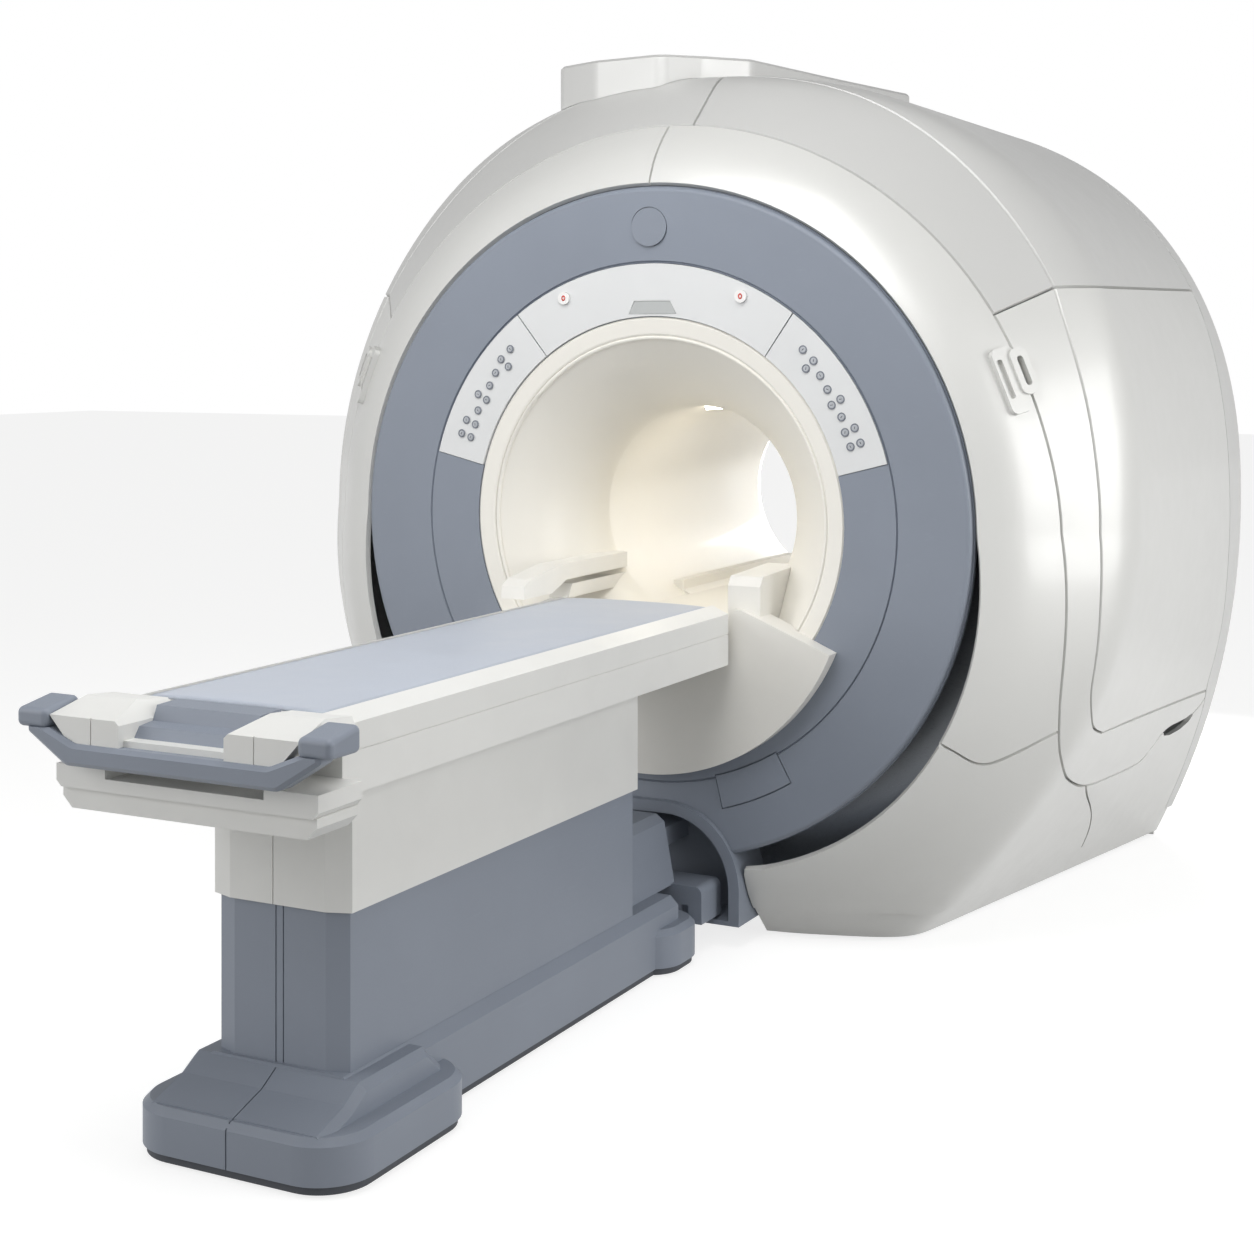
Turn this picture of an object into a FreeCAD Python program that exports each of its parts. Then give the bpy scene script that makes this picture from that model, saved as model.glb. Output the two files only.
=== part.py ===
import FreeCAD, Part
import math
import os

# An MRI scanner: a gantry with a horizontal patient bore, and a dockable patient table.
# Millimetres. +Z is up, +Y runs along the bore from the front to the back of the gantry,
# and +X is to the right of someone facing the front. The origin is on the floor, straight
# below the middle of the bore.

V = FreeCAD.Vector

# ---- bore and gantry ----
BORE_R = 300.0  # patient bore
ISO_Z = 1110.0  # height of the bore's axis
FRONT_Y = -880.0  # plane of the blue-grey front ring
GANTRY_LENGTH = 1760.0
REAR_Y = FRONT_Y + GANTRY_LENGTH
MID_Y = FRONT_Y + GANTRY_LENGTH / 2
LINER_WALL = 12.0
FIT = 0.3  # gap between round pieces that seat in each other
FUNNEL_DEPTH = 342.0  # from the ring plane to the seam of the bore tube
FUNNEL_MOUTH_R = 487.0
REAR_MOUTH_R = 600.0
REAR_PANEL_R = 662.0  # hole in the rear plate round the rear funnel
FUNNEL_WALL = 12.0
PANEL_INNER_R = 549.0  # inner edge of the ring and its control panels
PANEL_OUTER_R = 697.0
RING_R = 900.0
FACE_DISH = 25.0  # the ring's face leans back by this much towards the bore
FACE_SLOPE = 0.095
INNER_FACE_DISH = 34.0
RING_THICK = 26.0
RING_EDGE_ROUND = 12.0
RING_GROOVE = 3.5  # seam between the bezel and the ring
SEAM = 6.0  # width of a seam between covers, at their face
SEAM_BACK = 0.9  # and at their back
SEAM_DEPTH = 8.0
COVER_WALL = 16.0

# ---- outer form of the covers ----
ROLL_HEIGHT = 71.4  # the bezel rolls over by this much just outside the ring
ROLL_DEPTH = 32.0
FLARE_SLOPE = 0.769
FLARE_CURVE = 0.000418
BODY_HALF_WIDTH = 1233.4
BODY_TOP_FRONT = 1234.0  # height of the covers over the bore axis
BODY_TOP_REAR = 1229.4
TOP_FALL_START = 150.0
TOP_FALL_LENGTH = 1400.0
SQUARENESS = 2.33  # exponent of the shoulders: 2 is a plain circle
FRONT_SQUARENESS = 1.856
SIDE_FULLNESS = 0.0716  # how far the lower flanks stand out of the round front
FOOT_HALF_WIDTH = 585.0  # half width of the covers at the floor, at the front
FOOT_WIDENING = 0.215  # and how fast it grows towards the back
FLANK_POWER_FRONT = 2.0
FLANK_POWER_REAR = 2.0
REAR_R = 1150.0
REAR_FLOOR_GROWTH = 858.5
REAR_ROLL = 90.0
REAR_ROLL_DEPTH = 27.0
REAR_SLOPE = 1.896
BLEND = 27.0  # softness where the forms of the covers meet
SLANT_LIMIT = 0.3
CORNER_TURN = 0.35  # a seam that bends by more, in radians, has a corner there

# ---- seams between the covers, as depth behind the ring plane and height over the axis ----
BEZEL_DEPTH = 127.0
BAND_SPLIT_X = 72.0  # the upper band is split a little right of the middle
PANEL_DEPTH = 283.0  # front edge of the side panel
PANEL_TOP = 622.0
PANEL_TOP_RISE = 20.0  # the panel's upper seam climbs by this much to the back
PANEL_BOTTOM = -552.0
PANEL_BOTTOM_FALL = 60.0  # the panel's lower seam falls by this much to the back
BAND_LEAN = 0.1  # lean of the seam between upper band and top shell
CROSS_SEAM_DROP = 71.0
REAR_SEAM_BOW = 40.0  # the rear seam bows back by this much over the roof
REAR_STRIP = 240.0  # width of the rear cover on the flanks
REAR_SEAM_DEPTH = GANTRY_LENGTH - REAR_STRIP
PLINTH_HEIGHT = 90.0
NOTCH_TOP_DEPTH = 665.0
NOTCH_FOOT_DEPTH = 1090.0
FRAME_SKIRT_Z = -737.0
V_TIP_X = 905.0
V_TIP_DEPTH = 62.0
V_TIP_Z = -583.0
V_FRONT_SLOPE = -0.66
V_SIDE_SLOPE = 0.744

# ---- magnet ----
VESSEL_R = 1000.0
VESSEL_BORE_R = 450.0
VESSEL_HALF_LENGTH = GANTRY_LENGTH / 2 - 250.0
VESSEL_WALL = 14.0
TURRET_R = 170.0
TURRET_TOP = 1180.0  # over the bore axis
TURRET_Y = MID_Y + 90.0
TURRET_GAP = 10.0  # round the turret, where it passes the covers
COIL_INNER_R = 345.0
COIL_HALF_LENGTH = GANTRY_LENGTH / 2 - 280.0
MAGNET_FOOT_X = 430.0
MAGNET_FOOT_Y = 420.0
MAGNET_FOOT = 170.0
CHIMNEY_TOP = 1296.0
CHIMNEY_BEVEL = 8.0
CHIMNEY_WALL = 12.0

# ---- front panels and controls ----
CENTRE_PANEL_HALF_ANGLE = 36.6
SIDE_PANEL_LOW_ANGLE = 14.2
PANEL_THICK = 10.0
PANEL_PROUD = 2.0
PANEL_GAP = 2.0
STOP_R = 657.0
STOP_ANGLE = 23.8  # from the top
STOP_BUTTON_R = 17.0
STOP_TRAVEL = 4.0
STOP_PROUD = 7.0
BUTTON_CLEARANCE = 0.5
KEY_R = 11.0
KEY_PITCH_R = 623.0
KEY_PAIR_HALF = 15.0
KEY_PROUD = 3.0
KEY_ROWS = 8
KEY_TOP_ANGLE = 46.4
KEY_STEP = 3.7
KEY_PAIR_ROWS = (1, 4, 6, 7)
KEY_SINGLE_OFFSET = {0: 14.0, 2: 4.0, 3: -2.0, 5: -6.0}
DISPLAY_HALF_WIDTH = 72.0
DISPLAY_HEIGHT = 36.0
DISPLAY_Z = 556.0
EMBLEM_R = 52.0
EMBLEM_Z = 790.0
HATCH_ANGLE = -66.0
HATCH_HALF_WIDTH = 92.0
HATCH_LOW_R = 776.0
HATCH_HIGH_R = 680.0
LAMP_Y = FRONT_Y + 530.0
LAMP_HALF_LENGTH = 75.0
LAMP_HALF_ANGLE = 9.0

# ---- bridge, guards and dock ----
APRON_R = 670.0
APRON_CORNER_X = 531.0
APRON_CORNER_Z = -317.0
APRON_INNER_X = 285.0
APRON_INNER_Z = -218.0
APRON_FACE = 32.0  # the apron stands this far in front of the ring plane
APRON_DEPTH = 62.0  # and reaches this far behind it
GUARD_X = 235.0
GUARD_H = -150.0
BRIDGE_HALF = 188.0
BRIDGE_RAIL_Y = FRONT_Y + 540.0
BRIDGE_REAR_Y = REAR_Y - 365.0
TROUGH_HALF = 156.0
TONGUE_HALF = 60.0  # tongue of the table that enters the dock
TONGUE_Z = 250.0
TONGUE_HEIGHT = 50.0
TONGUE_GAP = 0.5
DOCK_HALF_WIDTH = 272.0
DOCK_TOP = 368.0
DOCK_ROUND = 215.0
DOCK_RIM = 30.0
DOCK_LOW_Z = 62.0
DOCK_FACE = 18.0
DOCK_DEPTH = 150.0
DOCK_FLOOR = 12.0
GRIP_Z = 384.0
GRIP_DEPTH = 96.0
GRIP_HEIGHT = 172.0
GRIP_PROUD = 14.0

# ---- patient table ----
TABLE_FOOT_Y = -2652.0
TABLE_HEAD_Y = -940.0
TABLE_HALF_WIDTH = 261.0
RAIL_FALL = 20.0  # the rails fall outwards by this much
RAIL_INNER_X = 216.0
RAIL_TOP_H = -205.0
RAIL_SEAM_Z = 845.0
TABLE_UNDERSIDE_Z = 753.0
TABLE_WALL = 14.0
CRADLE_R = 294.0  # the cradle's underside follows the bore
CRADLE_BOTTOM = -262.0
CRADLE_LEDGE = -222.0
CRADLE_TOP = -212.0
MATTRESS_TOP = -203.0
CRADLE_BODY_HALF = 150.0
CRADLE_FOOT_Y = -2640.0
CRADLE_HEAD_Y = -950.0
CRADLE_GAP = 0.5
MATTRESS_CROWN = 2.5
COLUMN_HALF_WIDTH = 167.0
COLUMN_FRONT_Y = -2505.0
COLUMN_REAR_Y = -1255.0
COLUMN_CHAMFER = 52.0
COLUMN_WALL = 6.0
COLUMN_STEP = 10.0  # the lower column stands in by this much
COLUMN_SPLIT_Z = 487.0
LOWER_COLUMN_TOP = 540.0
LIFT_TRAVEL = 280.0
BASE_TOP_Z = 175.0
FOOT_HALF = 262.0
FOOT_FRONT_Y = -2662.0
FOOT_REAR_Y = -2162.0
FOOT_ROUND = 110.0
FOOT_TOP_Z = 112.0
BEAM_HALF = 180.0
BEAM_CHAMFER = 22.0
LOBE_HALF = 218.0
LOBE_FRONT_Y = -1215.0
LOBE_REAR_Y = -985.0
LOBE_ROUND = 85.0
LOBE_TOP_Z = 118.0
BASE_LOW_Z = 24.0
BASE_BEVEL = 14.0
BASE_WALL = 12.0
SKIRT_INSET = 8.0
SKIRT_LOW_Z = 7.0
HEAD_HALF = 118.0  # docking head at the gantry end of the table
HEAD_TOP_HALF = 84.0
HEAD_TOP_Z = 352.0
HEAD_STEP_Z = 178.0
HEAD_LOW_HALF = 205.0
HEAD_LOW_Z = 82.0
WHEEL_R = 30.0
WHEEL_WIDTH = 24.0
CASTER_X = 150.0
CASTER_Y = -2400.0
CASTER_TRAIL = 22.0
FIXED_WHEEL_Y = -1100.0
AXLE_R = 5.0
CASTER_PIN_R = 9.0
BARREL_R = 32.0
RAM_R = 20.0
BAR_R = 21.0
BAR_HALF = 318.0
BAR_SLOPE = 84.0
BAR_Y = -2812.0
BAR_Z = 818.0
BUMPER_LOW_Z = 862.0
BUMPER_FRONT_Z = 898.0
BUMPER_REAR_Z = 915.0
BUMPER_DEPTH = 96.0
BUMPER_OUTER_X = 364.0
END_FRONT_Y = -2833.0
END_TOP_Z = 922.0
BLOCK_INNER_X = 122.0
BLOCK_OUTER_X = 290.0
TRAY_HALF = 305.0
TRAY_INSET = 9.0  # the lower half of the tray stands in by this much
TRAY_DROP = 48.0
SLOT_HALF = 185.0
SLOT_DEPTH = 80.0


# ---- helpers ----
def box(x0, x1, y0, y1, z0, z1):
    return Part.makeBox(x1 - x0, y1 - y0, z1 - z0, V(x0, y0, z0))


def face_of(points):
    return Part.Face(Part.makePolygon([*points, points[0]]))


def prism_y(outline, y0, y1):
    """An outline of (x, z) points, run along Y."""
    face = face_of([V(x, y0, z) for x, z in outline])
    return face.extrude(V(0, y1 - y0, 0))


def prism_x(outline, x0, x1):
    """An outline of (y, z) points, run along X."""
    face = face_of([V(x0, y, z) for y, z in outline])
    return face.extrude(V(x1 - x0, 0, 0))


def prism_z(outline, z0, z1):
    """An outline of (x, y) points, run along Z."""
    face = face_of([V(x, y, z0) for x, y in outline])
    return face.extrude(V(0, 0, z1 - z0))


def round_wire(points, radii):
    """A closed wire through the points, with an arc of each radius at its corner."""
    edges = []
    count = len(points)
    ends = []
    for i, (corner, radius) in enumerate(zip(points, radii)):
        back = (points[i - 1] - corner).normalize()
        ahead = (points[(i + 1) % count] - corner).normalize()
        if radius <= 0:
            ends.append((corner, corner, None))
            continue
        half = back.getAngle(ahead) / 2
        reach = radius / math.tan(half)
        centre = corner + (back + ahead).normalize() * (radius / math.sin(half))
        middle = centre + (corner - centre).normalize() * radius
        ends.append((corner + back * reach, corner + ahead * reach, middle))
    for i, (start, end, middle) in enumerate(ends):
        if middle is not None:
            edges.append(Part.Arc(start, middle, end).toShape())
        follow = ends[(i + 1) % count][0]
        if (follow - end).Length > 1e-6:
            edges.append(Part.LineSegment(end, follow).toShape())
    return Part.Wire(edges)


def rounded_prism(points, radii, run):
    return Part.Face(round_wire(points, radii)).extrude(run)


def ring_solid(profile):
    """A profile of (radius, y) points, turned about the bore axis."""
    face = face_of([V(r, y, ISO_Z) for r, y in profile])
    return face.revolve(V(0, 0, ISO_Z), V(0, 1, 0), 360)


def ring_part(profile, from_deg, to_deg):
    """The same, from one angle to another, counted from +X up towards +Z."""
    face = face_of([V(r, y, ISO_Z) for r, y in profile])
    face.rotate(V(0, 0, ISO_Z), V(0, 1, 0), -from_deg)
    return face.revolve(V(0, 0, ISO_Z), V(0, 1, 0), from_deg - to_deg)


def on_ring(radius, degrees, y):
    angle = math.radians(degrees)
    return V(radius * math.cos(angle), y, ISO_Z + radius * math.sin(angle))


def rod_y(radius, start, length):
    return Part.makeCylinder(radius, length, start, V(0, 1, 0))


def mirrored(shape):
    return shape.mirror(V(0, 0, 0), V(1, 0, 0))


def one_solid(shape):
    solids = shape.Solids
    return solids[0] if len(solids) == 1 else Part.makeCompound(solids)


# ---- the outer form of the covers ----
def soft_min(values):
    least = min(values)
    return least - BLEND * math.log(sum(math.exp((least - v) / BLEND) for v in values))


def superellipse(cosine, sine, half_width, height, power):
    width_part = abs(cosine / half_width) ** power
    return (width_part + abs(sine / height) ** power) ** (-1 / power)


def front_flare(depth, cosine, sine):
    radius = RING_R + ROLL_HEIGHT * (1 - math.exp(-depth / ROLL_DEPTH))
    radius += FLARE_SLOPE * depth + FLARE_CURVE * depth**2
    if sine < 0:
        return radius * (1 + SIDE_FULLNESS * abs(2 * sine * cosine))
    power = 2 + (FRONT_SQUARENESS - 2) * min(depth / 360, 1)
    return radius * superellipse(cosine, sine, 1, 1, power)


def flank_half_width(below, depth, inset):
    half_width = BODY_HALF_WIDTH - inset
    foot = FOOT_HALF_WIDTH + FOOT_WIDENING * depth - inset
    along = min(max((depth - 150) / 1290, 0), 1)
    power = FLANK_POWER_FRONT + (FLANK_POWER_REAR - FLANK_POWER_FRONT) * along
    return half_width - (half_width - foot) * (below / ISO_Z) ** power


def body_radius(depth, cosine, sine, inset):
    if sine >= 0:
        fall = min(max((depth - TOP_FALL_START) / TOP_FALL_LENGTH, 0), 1)
        top = BODY_TOP_FRONT + (BODY_TOP_REAR - BODY_TOP_FRONT) * fall
        return superellipse(cosine, sine, BODY_HALF_WIDTH - inset, top - inset, SQUARENESS)
    low, high = 0.0, 3 * BODY_HALF_WIDTH
    for _ in range(40):
        middle = (low + high) / 2
        if abs(middle * cosine) < flank_half_width(-middle * sine, depth, inset):
            low = middle
        else:
            high = middle
    return low


def envelope_radius(depth, angle, inset):
    cosine, sine = math.cos(angle), math.sin(angle)
    behind = GANTRY_LENGTH - depth - inset
    rear = REAR_R + REAR_FLOOR_GROWTH * min(sine, 0) ** 2
    rear += REAR_ROLL * (1 - math.exp(-behind / REAR_ROLL_DEPTH)) + REAR_SLOPE * behind
    front = front_flare(depth - inset, cosine, sine)
    return soft_min([front, body_radius(depth, cosine, sine, inset), rear - inset / 2])


def half_width(depth, height, inset=0.0):
    """How far the covers reach to the right, at a depth and a height over the axis."""
    low, high = 0.0, 2 * BODY_HALF_WIDTH
    for _ in range(36):
        middle = (low + high) / 2
        angle = math.atan2(height, middle)
        if math.hypot(middle, height) < envelope_radius(depth, angle, inset):
            low = middle
        else:
            high = middle
    return low


def angle_at(depth, height):
    return math.atan2(height, half_width(depth, height))


def depth_at(x, height):
    """The depth at which the front of the covers passes a point beside the bore."""
    low, high = 0.0, 800.0
    reach, angle = math.hypot(x, height), math.atan2(height, x)
    for _ in range(36):
        middle = (low + high) / 2
        if envelope_radius(middle, angle, 0) < reach:
            low = middle
        else:
            high = middle
    return low


def skin_point(depth, angle, inset):
    """A point on the covers, or on the form drawn in under them by an inset."""
    inner = inset + depth * (1 - 2 * inset / GANTRY_LENGTH)
    if depth < 200:
        inner = inset + depth * (1 - inset / 200)
    elif depth < GANTRY_LENGTH - 200:
        inner = depth
    else:
        inner = GANTRY_LENGTH - inset - (GANTRY_LENGTH - depth) * (1 - inset / 200)
    radius = envelope_radius(inner, angle, inset)
    return V(radius * math.cos(angle), FRONT_Y + inner, ISO_Z + radius * math.sin(angle))


def even_line(points, count):
    """A polyline of (depth, angle) points, sampled evenly between its sharp corners."""
    steps = [(q[0] - p[0], (q[1] - p[1]) * RING_R) for p, q in zip(points, points[1:])]
    lengths = [0.0]
    for step in steps:
        lengths.append(lengths[-1] + math.hypot(*step))
    whole = lengths[-1]
    corners = [0.0]
    for k in range(1, len(steps)):
        (x0, y0), (x1, y1) = steps[k - 1], steps[k]
        turn = abs(math.atan2(x0 * y1 - x1 * y0, x0 * x1 + y0 * y1))
        if turn > CORNER_TURN and 1.0 < lengths[k] < whole - 1.0:
            corners.append(lengths[k])
    corners.append(whole)
    places = [0.0]
    for k, (start, end) in enumerate(zip(corners, corners[1:])):
        left = count - len(places) - (len(corners) - 2 - k)
        share = max(1, min(left, round((count - 1) * (end - start) / whole)))
        if k == len(corners) - 2:
            share = count - len(places)
        places += [start + (end - start) * (i + 1) / share for i in range(share)]
    found = []
    k = 0
    for want in places:
        while k < len(lengths) - 2 and lengths[k + 1] < want - 1e-9:
            k += 1
        span = lengths[k + 1] - lengths[k]
        part = (want - lengths[k]) / span if span else 0
        (d0, a0), (d1, a1) = points[k], points[k + 1]
        found.append((d0 + (d1 - d0) * part, a0 + (a1 - a0) * part))
    return found


def flat_step(p, q):
    return q[0] - p[0], (q[1] - p[1]) * RING_R


def slant(border, across):
    """How much further to go along a slanted line to get the same distance from a border."""
    (x0, y0), (x1, y1) = border, across
    lengths = math.hypot(x0, y0) * math.hypot(x1, y1)
    return 1 / max(abs(x0 * y1 - x1 * y0) / max(lengths, 1e-9), SLANT_LIMIT)


def pulled(line, first, last):
    """The line with its two ends moved inwards along it."""
    steps = [0.0]
    for p, q in zip(line, line[1:]):
        steps.append(steps[-1] + math.hypot(*flat_step(p, q)))
    total = steps[-1]
    out = []
    for i in range(len(line)):
        want = first + steps[i] / total * (total - first - last)
        k = 0
        while k < len(line) - 2 and steps[k + 1] < want:
            k += 1
        part = (want - steps[k]) / max(steps[k + 1] - steps[k], 1e-9)
        (d0, a0), (d1, a1) = line[k], line[k + 1]
        out.append((d0 + (d1 - d0) * part, a0 + (a1 - a0) * part))
    return out


def drawn_in(grid, amount):
    """The grid with its four borders moved inwards by a distance."""

    def across(lines):
        moved = []
        top = len(lines) - 1
        for i, line in enumerate(lines):
            before, after = lines[max(i - 1, 0)], lines[min(i + 1, top)]
            first = slant(flat_step(before[0], after[0]), flat_step(line[0], line[1]))
            last = slant(flat_step(before[-1], after[-1]), flat_step(line[-2], line[-1]))
            moved.append(pulled(line, amount * first, amount * last))
        return [list(line) for line in zip(*moved)]

    return across(across(grid))


def steps_of(lines):
    """Places from 0 to 1 along a bundle of lines, spaced by their mean steps."""
    places = [0.0]
    for j in range(1, len(lines[0])):
        places.append(places[-1] + sum((row[j] - row[j - 1]).Length for row in lines))
    return [place / places[-1] for place in places]


def spline_poles(line, places):
    curve = Part.BSplineCurve()
    curve.interpolate(Points=line, Parameters=places)
    return curve.getPoles()


def smooth_skin(points):
    """A smooth surface through a grid of points."""
    across, along = steps_of(points), steps_of(list(zip(*points)))
    rows = [spline_poles(row, across) for row in points]
    columns = [spline_poles(list(column), along) for column in zip(*rows)]
    surface = Part.BSplineSurface()
    surface.buildFromPolesMultsKnots(
        [list(row) for row in zip(*columns)],
        [4] + [1] * (len(along) - 2) + [4],
        [4] + [1] * (len(across) - 2) + [4],
        along,
        across,
        False,
        False,
        3,
        3,
    )
    return surface


def cover(grid, outer=0.0, wall=None, edges=(SEAM / 2, SEAM_BACK / 2)):
    """A cover over a grid of (depth, angle) points, with bevelled seams round it."""
    wall = COVER_WALL if wall is None else wall
    faces = []
    skins = []
    for inset, edge in zip((outer, outer + wall), edges):
        rows = drawn_in(grid, edge)
        surface = smooth_skin([[skin_point(d, a, inset) for d, a in row] for row in rows])
        skins.append(surface)
        faces.append(surface.toShape())
    outside, inside = skins
    u0, u1, v0, v1 = outside.bounds()
    p0, p1, q0, q1 = inside.bounds()
    pairs = [
        (outside.uIso(u0), inside.uIso(p0)),
        (outside.uIso(u1), inside.uIso(p1)),
        (outside.vIso(v0), inside.vIso(q0)),
        (outside.vIso(v1), inside.vIso(q1)),
    ]
    for first, second in pairs:
        faces.append(Part.makeRuledSurface(first.toShape(), second.toShape()))
    skin = Part.makeShell(faces)
    skin.sewShape()
    solid = Part.Solid(skin if skin.ShapeType == "Shell" else skin.Shells[0])
    if solid.Volume < 0:
        solid.reverse()
    return solid


def spline_points(points, count):
    """Even points along a smooth curve through (depth, height) points."""
    curve = Part.BSplineCurve()
    curve.interpolate([V(0, d, h) for d, h in points])
    return [(p.y, p.z) for p in curve.discretize(Number=count)]


nodes = {}
FAR = 2500.0
FLOOR_H = -ISO_Z
PLINTH_H = PLINTH_HEIGHT - ISO_Z


def at_depth(depth):
    return FRONT_Y + depth


# ---- the seam lines, right half, as (depth, height over the axis) ----
def nearest(line, point):
    return min(range(len(line)), key=lambda i: math.dist(line[i], point))


# the rear seam, from the floor up the flank to the corner of the top shell
rear_whole = spline_points(
    [
        (REAR_SEAM_DEPTH + 180, PLINTH_H),
        (REAR_SEAM_DEPTH + 170, -900),
        (REAR_SEAM_DEPTH + 150, -750),
        (REAR_SEAM_DEPTH + 122, PANEL_BOTTOM - PANEL_BOTTOM_FALL - 30),
        (REAR_SEAM_DEPTH + 100, PANEL_BOTTOM - PANEL_BOTTOM_FALL + 5),
        (REAR_SEAM_DEPTH + 90, -500),
        (REAR_SEAM_DEPTH + 64, -321),
        (REAR_SEAM_DEPTH + 28, -192),
        (REAR_SEAM_DEPTH + 10, -67),
        (REAR_SEAM_DEPTH - 4, 90),
        (REAR_SEAM_DEPTH - 8, 230),
        (REAR_SEAM_DEPTH, 348),
        (REAR_SEAM_DEPTH + 21, 456),
        (REAR_SEAM_DEPTH + 40, 560),
        (REAR_SEAM_DEPTH + 50, PANEL_TOP + PANEL_TOP_RISE),
    ],
    110,
)
low_mark = nearest(rear_whole, (REAR_SEAM_DEPTH + 122, PANEL_BOTTOM - PANEL_BOTTOM_FALL - 30))
side_mark = nearest(rear_whole, (REAR_SEAM_DEPTH + 100, PANEL_BOTTOM - PANEL_BOTTOM_FALL + 5))
rear_low, panel_rear_low, panel_rear_top = rear_whole[low_mark], rear_whole[side_mark], rear_whole[-1]

# the outer seam of the side frame, from the upper band down the front and along its foot
cross_h = PANEL_TOP - CROSS_SEAM_DROP
frame_line = spline_points(
    [
        (BEZEL_DEPTH, cross_h),
        (BEZEL_DEPTH, 345),
        (BEZEL_DEPTH + 4, 200),
        (BEZEL_DEPTH + 10, 20),
        (BEZEL_DEPTH + 12, -150),
        (BEZEL_DEPTH + 15, -262),
        (BEZEL_DEPTH + 20, -339),
        (BEZEL_DEPTH + 30, -416),
        (BEZEL_DEPTH + 49, -490),
        (BEZEL_DEPTH + 87, -566),
        (BEZEL_DEPTH + 168, -624),
        (BEZEL_DEPTH + 326, -684),
        (NOTCH_TOP_DEPTH, FRAME_SKIRT_Z),
        (NOTCH_TOP_DEPTH + 150, FRAME_SKIRT_Z - 13),
        (NOTCH_TOP_DEPTH + 300, FRAME_SKIRT_Z - 20),
        (NOTCH_TOP_DEPTH + 420, FRAME_SKIRT_Z - 22),
        (NOTCH_TOP_DEPTH + 480, FRAME_SKIRT_Z - 16),
        (NOTCH_TOP_DEPTH + 525, FRAME_SKIRT_Z + 8),
        (NOTCH_TOP_DEPTH + 560, FRAME_SKIRT_Z + 36),
        (NOTCH_TOP_DEPTH + 610, FRAME_SKIRT_Z + 53),
        (NOTCH_TOP_DEPTH + 700, FRAME_SKIRT_Z + 57),
        (REAR_SEAM_DEPTH + 20, FRAME_SKIRT_Z + 62),
        rear_low,
    ],
    170,
)
notch_mark = nearest(frame_line, (NOTCH_TOP_DEPTH, FRAME_SKIRT_Z))
notch_top = frame_line[notch_mark]
notch_line = spline_points(
    [
        notch_top,
        (NOTCH_TOP_DEPTH + 118, FRAME_SKIRT_Z - 62),
        (NOTCH_FOOT_DEPTH - 122, FRAME_SKIRT_Z - 158),
        (NOTCH_FOOT_DEPTH - 50, FRAME_SKIRT_Z - 218),
        (NOTCH_FOOT_DEPTH, PLINTH_H),
    ],
    24,
)

# the seam round the side panel
band_foot = (PANEL_DEPTH, PANEL_TOP)
panel_front = spline_points(
    [
        band_foot,
        (PANEL_DEPTH - 28, 486),
        (PANEL_DEPTH - 45, 334),
        (PANEL_DEPTH - 58, 158),
        (PANEL_DEPTH - 63, -17),
        (PANEL_DEPTH - 69, -167),
        (PANEL_DEPTH - 67, -268),
        (PANEL_DEPTH - 62, -352),
        (PANEL_DEPTH - 52, -408),
        (PANEL_DEPTH - 30, -448),
        (PANEL_DEPTH + 18, -490),
        (PANEL_DEPTH + 100, -526),
        (PANEL_DEPTH + 200, PANEL_BOTTOM),
    ],
    70,
)
panel_low = [
    (
        PANEL_DEPTH + 200 + (panel_rear_low[0] - PANEL_DEPTH - 200) * k / 30,
        PANEL_BOTTOM + (panel_rear_low[1] - PANEL_BOTTOM) * k / 30,
    )
    for k in range(31)
]
shoulder_line = [
    (
        PANEL_DEPTH + (panel_rear_top[0] - PANEL_DEPTH) * k / 30,
        PANEL_TOP + (panel_rear_top[1] - PANEL_TOP) * k / 30,
    )
    for k in range(31)
]


def v_side_height(depth):
    return V_TIP_Z + V_SIDE_SLOPE * (depth - V_TIP_DEPTH)


def v_front_height(x):
    return V_TIP_Z + V_FRONT_SLOPE * (x - V_TIP_X)


# ---- the covers ----
TURN = math.pi / 2


def on_skin(line):
    """A line of (depth, height) points on the right side, as (depth, angle)."""
    return [(d, angle_at(d, h)) for d, h in line]


def strip(near, far, count, across):
    """A grid between two lines of (depth, angle) points."""
    near, far = even_line(near, count), even_line(far, count)
    grid = []
    for (d0, a0), (d1, a1) in zip(near, far):
        parts = [j / (across - 1) for j in range(across)]
        grid.append([(d0 + (d1 - d0) * t, a0 + (a1 - a0) * t) for t in parts])
    return grid


def blend_ends(grid, first=None, last=None, reach=5):
    """The grid with its first or last row bent to a given line, fading over some rows."""
    for line, order in ((first, 1), (last, -1)):
        if line is None:
            continue
        rows = grid[::order]
        ends = even_line(line, len(rows[0]))
        moves = [(p[0] - q[0], p[1] - q[1]) for p, q in zip(ends, rows[0])]
        for i in range(reach):
            share = (1 - i / reach) ** 1.5
            rows[i] = [
                (p[0] + m[0] * share, p[1] + m[1] * share) for p, m in zip(rows[i], moves)
            ]
        grid = rows[::order]
    return grid


def smooth(line, count):
    """A smooth line through (depth, angle) points."""
    curve = Part.BSplineCurve()
    curve.interpolate([V(0, d, a * RING_R) for d, a in line])
    return [(p.y, p.z / RING_R) for p in curve.discretize(Number=count)]


def leftwards(line):
    """A line of (depth, angle) points, carried over to the left side."""
    return [(d, math.pi - a) for d, a in line]


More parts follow.
